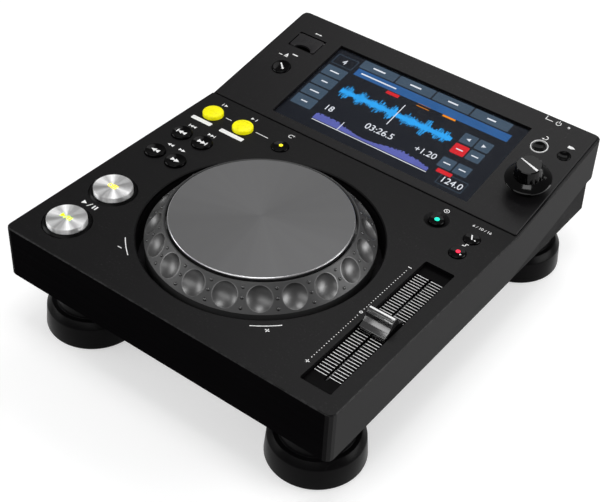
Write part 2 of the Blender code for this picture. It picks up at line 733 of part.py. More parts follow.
def make_floor_boards():
    low = floor_board_height()
    front = FOLD + 2 * POST_RADIUS
    rear = REAR_EDGE - 3 * POST_RADIUS
    left, right = main_board_span()
    main = block((left, front, low), (right, rear, low + BOARD_THICKNESS))
    place("main_board", main, BOARD_GREEN, smooth=False)
    left, right = supply_board_span()
    supply = block((left, front, low), (right, rear, low + BOARD_THICKNESS))
    board = place("power_supply_board", supply, BOARD_GREEN, smooth=False)
    middle = (left + right) / 2
    third = (rear - front) / 3
    side = (right - left) / 2
    overlap = BOARD_THICKNESS / 2
    transformer = centred_block(
        middle, front + third, side, third, low + overlap, low + BOARD_THICKNESS + side / 4
    )
    combine(board, "transformer", [transformer], "UNION")


def control_board_drop():
    """Depth of the control board's upper face below the deck's top."""
    return WALL + GAP + FLANGE_THICKNESS + STEM_REACH + PRESS_ROOM + SWITCH_HEIGHT


def make_control_board():
    top = DECK_HEIGHT - control_board_drop()
    side = CASE_WIDTH / 2 - WALL - PLATE_MARGIN / 2
    front = FRONT + PAN_INSET
    rear = FOLD - UNDER_FOLD - GAP
    inner = from_left(INNER_COLUMN) + SEEK_RADIUS + WELL_FLANGE
    strip = from_front(MASTER_TEMPO_FROM_FRONT) - TEMPO_BUTTON_RADIUS - FLANGE
    outline = [
        (-side, front), (inner, front), (inner, strip), (side, strip), (side, rear), (-side, rear),
    ]
    board = place("control_board", slab(outline, top - BOARD_THICKNESS, top), BOARD_GREEN, smooth=False)
    bore = JOG_OPENING + WELL_FLANGE + 2 * GAP
    round_cut = disc(bore, top - BOARD_THICKNESS - PAST, top + PAST, FINE_STEPS, *jog_centre())
    combine(board, "well_clearance", [round_cut])
    spots = [(x, y) for x, y, radius in deck_buttons()] + play_places() + [vinyl_place()]
    low = top - BOARD_THICKNESS / 2
    switches = [
        centred_block(x, y, SWITCH_SIZE, SWITCH_SIZE, low, top + SWITCH_HEIGHT) for x, y in spots
    ]
    combine(board, "switches", switches, "UNION")


def button_profile(radius, rise, skin, flange=FLANGE, dome=0, edge=BUTTON_EDGE):
    """Cap, flange under the skin and a short stem, from the top down."""
    under = -skin - GAP
    foot = under - FLANGE_THICKNESS
    profile = [(0, rise + dome)]
    if dome:
        profile.append((radius * DOME_RADIUS_SHARE, rise + dome * DOME_RISE_SHARE))
    profile += [
        (radius - edge, rise), (radius, rise - edge), (radius, under), (radius + flange, under),
        (radius + flange, foot), (STEM_RADIUS, foot), (STEM_RADIUS, foot - STEM_REACH),
        (0, foot - STEM_REACH),
    ]
    return profile


def deck_button(name, x, y, radius, rise, finish, dome=0):
    profile = button_profile(radius, rise, WALL, dome=dome)
    return place(name, turned(profile, SMALL_STEPS), finish, location=(x, y, DECK_HEIGHT))


def make_deck_buttons():
    outer = from_left(OUTER_COLUMN)
    inner = from_left(INNER_COLUMN)
    search = from_front(SEARCH_FROM_FRONT)
    track = from_front(TRACK_FROM_FRONT)
    deck_button("search_back_button", outer, search, SEEK_RADIUS, SEEK_RISE, GLOSS_BLACK)
    deck_button("search_forward_button", inner, search, SEEK_RADIUS, SEEK_RISE, GLOSS_BLACK)
    deck_button("track_back_button", outer, track, SEEK_RADIUS, SEEK_RISE, GLOSS_BLACK)
    deck_button("track_forward_button", inner, track, SEEK_RADIUS, SEEK_RISE, GLOSS_BLACK)
    loops = from_front(LOOP_FROM_FRONT)
    loop_in = from_left(LOOP_IN_FROM_LEFT)
    loop_out = from_left(LOOP_OUT_FROM_LEFT)
    deck_button("loop_in_button", loop_in, loops, LOOP_RADIUS, LOOP_RISE, LIT_YELLOW, LOOP_DOME)
    deck_button("loop_out_button", loop_out, loops, LOOP_RADIUS, LOOP_RISE, LIT_YELLOW, LOOP_DOME)
    deck_button("reloop_button", *reloop_place(), RELOOP_RADIUS, SMALL_RISE, GLOSS_BLACK)
    deck_button("vinyl_mode_button", *vinyl_place(), VINYL_RADIUS, VINYL_RISE, GLOSS_BLACK)
    tempo_x = from_right(TEMPO_BUTTONS_FROM_RIGHT)
    tempo_range = from_front(TEMPO_RANGE_FROM_FRONT)
    master_tempo = from_front(MASTER_TEMPO_FROM_FRONT)
    radius = TEMPO_BUTTON_RADIUS
    deck_button("tempo_range_button", tempo_x, tempo_range, radius, SMALL_RISE, GLOSS_BLACK)
    deck_button("master_tempo_button", tempo_x, master_tempo, radius, SMALL_RISE, GLOSS_BLACK)


def make_play_buttons():
    """Two large metal buttons, each sliding in a gloss ring that the deck holds by a flange."""
    under = -WALL - GAP
    ring_foot = under - FLANGE_THICKNESS
    inside = PLAY_RADIUS + GAP
    ring = [
        (inside, RING_RISE - BUTTON_EDGE), (inside + BUTTON_EDGE, RING_RISE),
        (RING_RADIUS - 2 * BUTTON_EDGE, RING_RISE), (RING_RADIUS, RING_RISE - 2 * BUTTON_EDGE),
        (RING_RADIUS, under), (RING_RADIUS + FLANGE, under), (RING_RADIUS + FLANGE, ring_foot),
        (inside, ring_foot),
    ]
    button_foot = ring_foot - GAP
    stem_foot = under - FLANGE_THICKNESS - STEM_REACH
    button = [
        (0, PLAY_RISE), (PLAY_RADIUS - BUTTON_EDGE, PLAY_RISE), (PLAY_RADIUS, PLAY_RISE - BUTTON_EDGE),
        (PLAY_RADIUS, button_foot), (PLAY_RADIUS + FLANGE, button_foot),
        (PLAY_RADIUS + FLANGE, button_foot - FLANGE_THICKNESS),
        (2 * STEM_RADIUS, button_foot - FLANGE_THICKNESS), (2 * STEM_RADIUS, stem_foot), (0, stem_foot),
    ]
    for name, (x, y) in zip(("play", "cue"), play_places()):
        where = (x, y, DECK_HEIGHT)
        place(name + "_ring", turned(ring, ROUND_STEPS), GLOSS_BLACK, location=where)
        place(name + "_button", turned(button, ROUND_STEPS), ALUMINIUM, location=where)


def rim_slope():
    """Top and foot of the rim's dimpled slope, as (radius, height) above the deck."""
    crest_radius = JOG_TOP_RADIUS + JOG_GROOVE + RIM_CREST_WIDTH
    return Vector((crest_radius, JOG_HEIGHT - RIM_CREST_DROP)), Vector((JOG_RADIUS, -RIM_FOOT_DROP))


def web_heights():
    """Upper and lower face of the web that carries the rim."""
    sleeve_foot = JOG_HEIGHT - 2 * JOG_TOP_THICKNESS - RIM_CREST_DROP
    top = sleeve_foot - JOG_TRAVEL_ROOM
    return top, top - WEB_THICKNESS


def make_jog():
    x, y = jog_centre()
    centre = (x, y, DECK_HEIGHT)
    web_top, web_foot = web_heights()
    top_under = JOG_HEIGHT - JOG_TOP_THICKNESS
    sleeve_foot = web_top + JOG_TRAVEL_ROOM
    sleeve_bore = SHAFT_RADIUS + RUNNING_GAP
    sleeve_radius = SHAFT_RADIUS * SLEEVE_SHARE
    top_plate = [
        (0, JOG_HEIGHT), (JOG_TOP_RADIUS - JOG_TOP_EDGE, JOG_HEIGHT),
        (JOG_TOP_RADIUS, JOG_HEIGHT - JOG_TOP_EDGE), (JOG_TOP_RADIUS, top_under),
        (sleeve_radius, top_under), (sleeve_radius, sleeve_foot),
        (sleeve_bore, sleeve_foot), (sleeve_bore, top_under), (0, top_under),
    ]
    place("jog_top_plate", turned(top_plate, FINE_STEPS), JOG_GREY, location=centre)

    crest, foot = rim_slope()
    along = (foot - crest).normalized()
    outward = Vector((-along.y, along.x))
    inner_crest = crest - outward * RIM_WALL
    inner_foot = foot - outward * RIM_WALL
    drop = (inner_crest.y - web_foot) / (inner_crest.y - inner_foot.y)
    web_meets = inner_crest.lerp(inner_foot, drop)
    inside = JOG_TOP_RADIUS + JOG_GROOVE
    skirt = -RIM_FOOT_DROP - RIM_SKIRT
    hub = SHAFT_RADIUS + WALL
    hub_bore = SHAFT_RADIUS + GAP
    hub_foot = web_foot - 2 * WALL
    collar_top = hub_foot - GAP
    bevel = EDGE_BEVEL
    rim = [
        (inside, crest.y - bevel), (inside + bevel, crest.y), (crest.x, crest.y), (foot.x, foot.y),
        (foot.x, skirt), (inner_foot.x, skirt), (inner_foot.x, inner_foot.y),
        (web_meets.x, web_foot), (hub, web_foot), (hub, hub_foot), (hub_bore, hub_foot),
        (hub_bore, web_top), (inside, web_top),
    ]
    jog = place("jog_rim", turned(rim, FINE_STEPS), RIM_GREY, location=centre)
    combine(jog, "dimples", dimple_cutters(crest, foot, outward), parent=jog)

    well_top = -WALL - GAP
    well_inner = JOG_OPENING
    well_outer = well_inner + WELL_WALL
    well_floor = well_top - WELL_DEPTH + WELL_WALL
    bearing_seat = 2 * SHAFT_RADIUS
    well = [
        (well_inner, well_top), (well_inner + WELL_FLANGE, well_top),
        (well_inner + WELL_FLANGE, well_top - WELL_WALL), (well_outer, well_top - WELL_WALL),
        (well_outer, well_floor - WELL_WALL), (bearing_seat, well_floor - WELL_WALL),
        (bearing_seat, well_floor), (well_inner, well_floor),
    ]
    place("jog_well", turned(well, FINE_STEPS), PURE_BLACK, location=centre)

    bore = SHAFT_RADIUS + RUNNING_GAP
    seat = bearing_seat - GAP
    flange_foot = well_floor + GAP
    flange_top = flange_foot + WALL / 2
    bearing_foot = well_floor - 2 * WELL_WALL
    bearing_top = flange_top + WALL
    bearing = [
        (bore, bearing_top), (bore + WALL, bearing_top), (bore + WALL, flange_top),
        (bearing_seat + WALL, flange_top), (bearing_seat + WALL, flange_foot), (seat, flange_foot),
        (seat, bearing_foot), (bore, bearing_foot),
    ]
    place("jog_bearing", turned(bearing, FINE_STEPS), STEEL, location=centre)

    tip = top_under - JOG_TRAVEL_ROOM
    wheel_top = bearing_foot - WELL_WALL
    wheel_bore = SHAFT_RADIUS * WHEEL_BORE_SHARE
    shaft_foot = wheel_top - 2 * WALL
    collar_foot = bearing_top + GAP
    shaft = [
        (0, tip), (SHAFT_RADIUS - EDGE_BEVEL, tip), (SHAFT_RADIUS, tip - EDGE_BEVEL),
        (SHAFT_RADIUS, collar_top), (hub, collar_top), (hub, collar_foot),
        (SHAFT_RADIUS, collar_foot), (SHAFT_RADIUS, wheel_top + GAP), (wheel_bore, wheel_top + GAP),
        (wheel_bore, shaft_foot), (0, shaft_foot),
    ]
    place("jog_shaft", turned(shaft, FINE_STEPS), STEEL, location=centre)

    wheel = slab(toothed_outline(), wheel_top - WALL / 2, wheel_top)
    encoder = place("encoder_wheel", wheel, MATT_BLACK, location=centre, smooth=False)
    bore_cut = disc(wheel_bore + GAP, wheel_top - WALL, wheel_top + PAST, ROUND_STEPS)
    combine(encoder, "encoder_bore", [bore_cut], parent=encoder)


def dimple_cutters(crest, foot, outward):
    """Shallow spherical cutters set square to the slope, one for each finger dimple."""
    radius = (foot - crest).length / 2 - DIMPLE_MARGIN
    ball = (radius ** 2 + DIMPLE_DEPTH ** 2) / (2 * DIMPLE_DEPTH)
    reach = math.asin(radius / ball) * DIMPLE_REACH_SHARE
    rings = 3
    profile = [(0, -ball)]
    for ring in range(1, rings + 1):
        angle = reach * ring / rings
        profile.append((ball * math.sin(angle), -ball * math.cos(angle)))
    profile.append((0, -ball * math.cos(reach)))
    middle = (crest + foot) / 2
    sunk = middle + outward * (ball - DIMPLE_DEPTH)
    tilt = math.atan2(outward.x, outward.y)
    cutters = []
    for index in range(DIMPLE_COUNT):
        cutter = turned(profile, SMALL_STEPS)
        turn = Matrix.Rotation(DIMPLE_TURN + 2 * math.pi * index / DIMPLE_COUNT, 4, "Z")
        shift = Matrix.Translation((sunk.x, 0, sunk.y))
        lean = Matrix.Rotation(tilt, 4, "Y")
        bmesh.ops.transform(cutter, matrix=turn @ shift @ lean, verts=cutter.verts)
        cutters.append(cutter)
    return cutters


def toothed_outline():
    """Outline of the code wheel: equal teeth and gaps round its edge."""
    outline = []
    quarter = 2 * math.pi / ENCODER_TEETH / 4
    root = ENCODER_RADIUS * TOOTH_ROOT_SHARE
    for tooth in range(ENCODER_TEETH):
        start = 4 * quarter * tooth
        for step, radius in enumerate((root, ENCODER_RADIUS, ENCODER_RADIUS, root)):
            angle = start + quarter * (step - (step + 1) % 2 * TOOTH_FLANK_SHARE)
            outline.append((radius * math.cos(angle), radius * math.sin(angle)))
    return outline


def make_slider():
    x, y = slider_centre()
    top = DECK_HEIGHT - WALL - GAP
    width = RECESS_WIDTH + 2 * PLATE_MARGIN
    length = RECESS_LENGTH + 2 * PLATE_MARGIN
    plate_shape = centred_block(x, y, width, length, top - PLATE_THICKNESS, top)
    plate = place("slider_plate", plate_shape, PURE_BLACK, smooth=False)
    slot_length = RECESS_LENGTH - 2 * SLOT_END
    slot = rounded_outline(SLOT_WIDTH, slot_length, SLOT_WIDTH * SLOT_CORNER_SHARE, 3, x, y)
    combine(plate, "slider_slot", [slab(slot, top - PLATE_THICKNESS - PAST, top + PAST)])

    track_top = top - PLATE_THICKNESS - GAP
    track_foot = track_top - TRACK_DEPTH
    track_shape = centred_block(x, y, TRACK_WIDTH, length, track_foot, track_top)
    track = place("slider_track", track_shape, STEEL, smooth=False)
    channel = TRACK_WIDTH - 2 * WALL
    channel_floor = track_foot + WALL / 2
    channel_cut = centred_block(x, y, channel, length - 2 * WALL, channel_floor, track_top + PAST)
    combine(track, "track_channel", [channel_cut])

    foot = channel_floor + GAP - DECK_HEIGHT
    shoulder = track_top - WALL - DECK_HEIGHT
    pocket_top = CAP_REAR_RIDGE / 2
    carriage_shape = centred_block(0, 0, channel - 2 * GAP, 3 * BLADE_LENGTH, foot, shoulder)
    where = (x, y, DECK_HEIGHT)
    carriage = place("slider_carriage", carriage_shape, GLOSS_BLACK, location=where, smooth=False)
    blade = centred_block(0, 0, BLADE_THICKNESS, BLADE_LENGTH, shoulder - WALL, pocket_top - GAP)
    combine(carriage, "slider_blade", [blade], "UNION", parent=carriage)

    cap_foot = -WALL
    half = CAP_LENGTH / 2
    bevel = EDGE_BEVEL
    outline = [(-half, cap_foot), (half, cap_foot), (half, bevel)]
    outline += [(half * along, CAP_REAR_RIDGE * up) for along, up in CAP_REAR_SHARES]
    outline += [(half * along, CAP_FRONT_RIDGE * up) for along, up in CAP_FRONT_SHARES]
    outline.append((-half, bevel))
    cap_shape = side_slab(outline, RECESS_WIDTH - 2 * CAP_SIDE_GAP)
    cap = place("slider_cap", cap_shape, GLOSS_BLACK, location=where)
    pocket = centred_block(
        0, 0, BLADE_THICKNESS + 2 * GAP, BLADE_LENGTH + 2 * GAP, cap_foot - PAST, pocket_top
    )
    combine(cap, "cap_pocket", [pocket], parent=cap)


def screen_sides():
    """Left and right edge of the screen's opening, between the USB flap and the back button."""
    left = from_left(USB_FROM_LEFT) + FLAP_WIDTH / 2 + SCREEN_TO_FLAP
    return left, from_right(BACK_FROM_RIGHT) - BACK_RING_RADIUS - SCREEN_TO_BACK_RING


def screen_block(margin, low, high):
    left, right = screen_sides()
    front = SCREEN_FROM_FOLD - margin
    rear = SCREEN_FROM_FOLD + SCREEN_LENGTH + margin
    return block((left - margin, front, low), (right + margin, rear, high))


def make_head_panel(head_frame):
    length = HEAD_LENGTH - PANEL_INSET - PANEL_SEAM
    middle = PANEL_SEAM + length / 2
    width = CASE_WIDTH - 2 * PANEL_INSET
    radius = PANEL_SEAM
    rings = []
    for inset, height in ((0, -PANEL_THICKNESS), (0, -PANEL_EDGE), (PANEL_EDGE, 0)):
        outline = rounded_outline(width - 2 * inset, length - 2 * inset, radius, 3, 0, middle)
        rings.append([(x, y, height) for x, y in outline])
    panel = place("head_panel", lofted(rings), PANEL_GREY, head_frame, smooth=False)

    low = -PANEL_THICKNESS - PAST
    cuts = [screen_block(0, low, PAST)]
    usb_x = from_left(USB_FROM_LEFT)
    pocket_front = USB_FROM_FOLD - FLAP_LENGTH / 2 - GAP
    pocket_rear = USB_FROM_FOLD + FLAP_LENGTH / 2 + 2 * GAP
    pocket_half = FLAP_WIDTH / 2 + GAP
    cuts.append(block((usb_x - pocket_half, pocket_front, low), (usb_x + pocket_half, pocket_rear, PAST)))
    holes = [
        (from_left(STOP_FROM_LEFT), STOP_FROM_FOLD, STOP_RADIUS + GAP),
        (*back_place(), BACK_RING_RADIUS + GAP),
        (*tag_place(), TAG_RADIUS + GAP),
        (from_right(KNOB_FROM_RIGHT), KNOB_FROM_FOLD, SELECTOR_SHAFT_RADIUS + 2 * FLANGE_THICKNESS),
        (*lamp_place(), LAMP_RADIUS + GAP),
    ]
    for x, y, hole in holes:
        cuts.append(disc(hole, low, PAST, ROUND_STEPS, x, y))
    combine(panel, "panel_openings", cuts, parent=head_frame)
    pin_hole = disc(FLAP_PIN_RADIUS + RUNNING_GAP, -pin_half() - GAP, pin_half() + GAP, PIN_STEPS)
    along_x(pin_hole, usb_x, hinge_y(), -FLAP_BARREL_RADIUS)
    combine(panel, "pin_holes", [pin_hole], parent=head_frame)


def back_place():
    return from_right(BACK_FROM_RIGHT), HEAD_LENGTH - BACK_FROM_REAR


def tag_place():
    return from_right(TAG_FROM_RIGHT), HEAD_LENGTH - TAG_FROM_REAR


def lamp_place():
    return from_right(LAMP_FROM_RIGHT), HEAD_LENGTH - LAMP_FROM_REAR


def pin_half():
    return FLAP_WIDTH / 2 + GAP + PANEL_SEAM


def hinge_y():
    """The flap's pin lies near its rear edge."""
    return USB_FROM_FOLD + FLAP_LENGTH / 2 - FLAP_BARREL_RADIUS


def make_screen(head_frame):
    glass = screen_block(-GAP, -PANEL_THICKNESS, -GLASS_RECESS)
    place("display_glass", glass, GLASS, head_frame, smooth=False)
    module = screen_block(MODULE_MARGIN, -SEAT - MODULE_DEPTH, -SEAT)
    place("lcd_module", module, SCREEN, head_frame, smooth=False)


def make_head_board(head_frame):
    top = -SEAT - MODULE_DEPTH - GAP
    side = CASE_WIDTH / 2 - PAN_INSET
    front = 2 * LEDGE_OPENING_FRONT
    rear = HEAD_LENGTH - HEAD_BOARD_FROM_REAR
    notch_x = from_left(USB_FROM_LEFT) + FLAP_WIDTH / 2 + PAST
    notch_y = USB_FROM_FOLD - FLAP_LENGTH / 2 - PAST
    outline = [
        (-side, front), (side, front), (side, rear), (notch_x, rear), (notch_x, notch_y), (-side, notch_y),
    ]
    shape = slab(outline, top - BOARD_THICKNESS, top)
    board = place("head_board", shape, BOARD_GREEN, head_frame, smooth=False)
    switch_top = -SEAT - FLANGE_THICKNESS - STEM_REACH - PRESS_ROOM
    tag_x, tag_y = tag_place()
    spots = [(from_left(STOP_FROM_LEFT), STOP_FROM_FOLD), back_place(), (tag_x - PAST, tag_y)]
    low = top - BOARD_THICKNESS / 2
    switches = [centred_block(x, y, SWITCH_SIZE, SWITCH_SIZE, low, switch_top) for x, y in spots]
    combine(board, "head_switches", switches, "UNION", parent=head_frame)


def make_usb(head_frame):
    x = from_left(USB_FROM_LEFT)
    front = -FLAP_LENGTH + FLAP_BARREL_RADIUS
    barrel = FLAP_BARREL_RADIUS
    bevel = PANEL_EDGE
    outline = [(front, barrel - bevel), (front + bevel, barrel)]
    steps = 6
    for step in range(steps + 1):
        angle = math.pi / 2 - math.pi * step / steps
        outline.append((barrel * math.cos(angle), barrel * math.sin(angle)))
    outline += [(-barrel, barrel - FLAP_THICKNESS), (front, barrel - FLAP_THICKNESS)]
    shape = side_slab(outline, FLAP_WIDTH)
    flap = place("usb_flap", shape, RUBBER, head_frame, (x, hinge_y(), -barrel))
    bore = disc(FLAP_PIN_RADIUS + RUNNING_GAP, -FLAP_WIDTH, FLAP_WIDTH, PIN_STEPS)
    combine(flap, "flap_bore", [along_x(bore, 0, 0, 0)], parent=flap)
    scoop = disc(FLAP_LENGTH / 4, barrel - FLAP_THICKNESS / 2, barrel + PAST, SMALL_STEPS, 0, front)
    combine(flap, "finger_scoop", [scoop], parent=flap)
    pin = along_x(disc(FLAP_PIN_RADIUS, -pin_half(), pin_half(), PIN_STEPS), 0, 0, 0)
    place("usb_flap_pin", pin, STEEL, head_frame, (x, hinge_y(), -barrel))

    port_top = -FLAP_THICKNESS - GAP
    body_front = USB_FROM_FOLD - FLAP_LENGTH / 2
    body_rear = hinge_y() - barrel - GAP
    y = (body_front + body_rear) / 2
    collar_foot = -SEAT - LEDGE
    collar = block((x - FLAP_WIDTH / 2, body_front, collar_foot), (x + FLAP_WIDTH / 2, body_rear, port_top))
    port = place("usb_port", collar, PURE_BLACK, head_frame, smooth=False)
    body = centred_block(
        x, y, PORT_WIDTH + SOCKET_WALL, PORT_LENGTH + SOCKET_WALL, -PORT_BODY_DEPTH, collar_foot + LEDGE / 2
    )
    combine(port, "port_body", [body], "UNION", parent=head_frame)
    mouth = centred_block(x, y, PORT_WIDTH, PORT_LENGTH, port_top - PORT_DEPTH, port_top + PAST)
    combine(port, "port_mouth", [mouth], parent=head_frame)


def head_button(name, head_frame, x, y, radius, rise, flange=FLANGE):
    profile = button_profile(radius, rise, PANEL_THICKNESS, flange)
    return place(name, turned(profile, SMALL_STEPS), GLOSS_BLACK, head_frame, (x, y, 0))


def make_head_buttons(head_frame):
    stop = (from_left(STOP_FROM_LEFT), STOP_FROM_FOLD)
    head_button("usb_stop_button", head_frame, *stop, STOP_RADIUS, SMALL_RISE)
    head_button("tag_track_button", head_frame, *tag_place(), TAG_RADIUS, VINYL_RISE, TAG_FLANGE)
    x, y = back_place()
    inside = BACK_RADIUS + GAP
    under = -PANEL_THICKNESS - GAP
    foot = under - FLANGE_THICKNESS
    ring = [
        (inside, PANEL_EDGE), (BACK_RING_RADIUS, PANEL_EDGE), (BACK_RING_RADIUS, under),
        (BACK_RING_RADIUS + FLANGE, under), (BACK_RING_RADIUS + FLANGE, foot), (inside, foot),
    ]
    place("back_ring", turned(ring, ROUND_STEPS), WHITE, head_frame, (x, y, 0))
    stem_foot = foot - STEM_REACH
    button = [
        (0, VINYL_RISE), (BACK_RADIUS - BUTTON_EDGE, VINYL_RISE), (BACK_RADIUS, VINYL_RISE - BUTTON_EDGE),
        (BACK_RADIUS, foot - GAP), (BACK_RADIUS + FLANGE, foot - GAP),
        (BACK_RADIUS + FLANGE, foot - GAP - FLANGE_THICKNESS), (STEM_RADIUS, foot - GAP - FLANGE_THICKNESS),
        (STEM_RADIUS, stem_foot), (0, stem_foot),
    ]
    place("back_button", turned(button, SMALL_STEPS), GLOSS_BLACK, head_frame, (x, y, 0))
    lamp = [
        (0, LAMP_RADIUS / 2), (LAMP_RADIUS * LAMP_CROWN_SHARE, LAMP_RADIUS / 3), (LAMP_RADIUS, 0),
        (LAMP_RADIUS, under),
        (2 * LAMP_RADIUS, under), (2 * LAMP_RADIUS, foot), (0, foot),
    ]
    place("standby_lamp", turned(lamp, PIN_STEPS), WHITE, head_frame, (*lamp_place(), 0))


def make_selector(head_frame):
    x = from_right(KNOB_FROM_RIGHT)
    y = KNOB_FROM_FOLD
    bore = SELECTOR_SHAFT_RADIUS + RUNNING_GAP
    bushing = SELECTOR_SHAFT_RADIUS + FLANGE_THICKNESS
    body_top = -SEAT
    body_foot = -SEAT - MODULE_DEPTH
    body = centred_block(0, 0, ENCODER_BODY, ENCODER_BODY, body_foot, body_top)
    encoder = place("selector_encoder", body, STEEL, head_frame, (x, y, 0), smooth=False)
    collar = disc(bushing, body_top - LEDGE, VINYL_RISE / 2, ROUND_STEPS)
    combine(encoder, "encoder_bushing", [collar], "UNION", parent=encoder)
    shaft_bore = disc(bore, body_foot + LEDGE, PAST, ROUND_STEPS)
    combine(encoder, "encoder_shaft_bore", [shaft_bore], parent=encoder)

    knob_foot = KNOB_LIFT
    bore_top = KNOB_HEIGHT * KNOB_BORE_SHARE
    shaft_foot = body_foot + LEDGE + KNOB_LIFT
    shaft = disc(SELECTOR_SHAFT_RADIUS, shaft_foot, bore_top - GAP, ROUND_STEPS)
    place("selector_shaft", shaft, STEEL, head_frame, (x, y, 0))

    flange_mid = KNOB_HEIGHT * KNOB_FLANGE_SHARE
    lip = BUTTON_EDGE
    neck = KNOB_GRIP_RADIUS * KNOB_NECK_SHARE
    knob_profile = [
        (0, KNOB_HEIGHT), (KNOB_TOP_RADIUS - lip, KNOB_HEIGHT), (KNOB_TOP_RADIUS, KNOB_HEIGHT - lip),
        (KNOB_GRIP_RADIUS, flange_mid + 4 * lip), (neck, flange_mid + 3 * lip),
        (KNOB_RADIUS - lip, flange_mid + lip), (KNOB_RADIUS, flange_mid), (KNOB_RADIUS, flange_mid - lip),
        (KNOB_RADIUS - lip, flange_mid - 2 * lip), (KNOB_FOOT_RADIUS, flange_mid - 5 * lip),
        (KNOB_FOOT_RADIUS, knob_foot), (bore, knob_foot), (bore, bore_top), (0, bore_top),
    ]
    knob_shape = turned(knob_profile, ROUND_STEPS + 4)
    knob = place("selector_knob", knob_shape, GLOSS_BLACK, head_frame, (x, y, 0))
    flutes = []
    for index in range(KNOB_FLUTES):
        angle = 2 * math.pi * (index + 1 / 2) / KNOB_FLUTES
        reach = KNOB_GRIP_RADIUS + FLUTE_RADIUS * FLUTE_OFFSET_SHARE
        flutes.append(disc(
            FLUTE_RADIUS, flange_mid + 5 * lip, KNOB_HEIGHT - 2 * lip, 8,
            reach * math.cos(angle), reach * math.sin(angle),
        ))
    combine(knob, "grip_flutes", flutes, parent=knob)


def make_feet():
    top = PAN_HEIGHT - GAP
    taper = FOOT_RADIUS * FOOT_TAPER_SHARE
    recess = FOOT_BODY_HEIGHT * FOOT_RECESS_SHARE
    bevel = 2 * EDGE_BEVEL
    profile = [
        (0, top), (FOOT_NECK_RADIUS, top), (FOOT_NECK_RADIUS, FOOT_SHOULDER_HEIGHT),
        (FOOT_RADIUS * FOOT_SHOULDER_SHARE, FOOT_SHOULDER_HEIGHT), (taper, FOOT_BODY_HEIGHT),
        (FOOT_RADIUS, bevel), (FOOT_RADIUS - bevel, 0), (FOOT_RECESS_RADIUS, 0),
        (FOOT_RECESS_RADIUS, recess), (0, recess),
    ]
    from_side = PAN_INSET + FOOT_NECK_RADIUS + FOOT_SIDE_MARGIN
    front = from_front(PAN_INSET + FOOT_NECK_RADIUS + FOOT_FRONT_MARGIN)
    rear = CASE_DEPTH / 2 - REAR_FACE_INSET - FOOT_NECK_RADIUS - FOOT_REAR_MARGIN
    for row, y in (("front", front), ("rear", rear)):
        for side, x in (("left", from_left(from_side)), ("right", from_right(from_side))):
            foot = turned(profile, ROUND_STEPS + 4)
            place(f"foot_{row}_{side}", foot, RUBBER, location=(x, y, 0))


def rear_block(name, x, width, height, mouth_width, mouth_height, panel_face, finish):
    """A socket that shows its mouth through the rear panel."""
    rear = panel_face + GAP
    depth = SOCKET_DEPTH * MOUTH_DEPTH_SHARE
    low = SOCKET_HEIGHT - height / 2
    body = block((x - width / 2, rear - SOCKET_DEPTH, low), (x + width / 2, rear, low + height))
    socket = place(name, body, finish, smooth=False)
    mouth = block(
        (x - mouth_width / 2, rear - depth, SOCKET_HEIGHT - mouth_height / 2),
        (x + mouth_width / 2, rear + PAST, SOCKET_HEIGHT + mouth_height / 2),
    )
    combine(socket, name + "_mouth", [mouth])


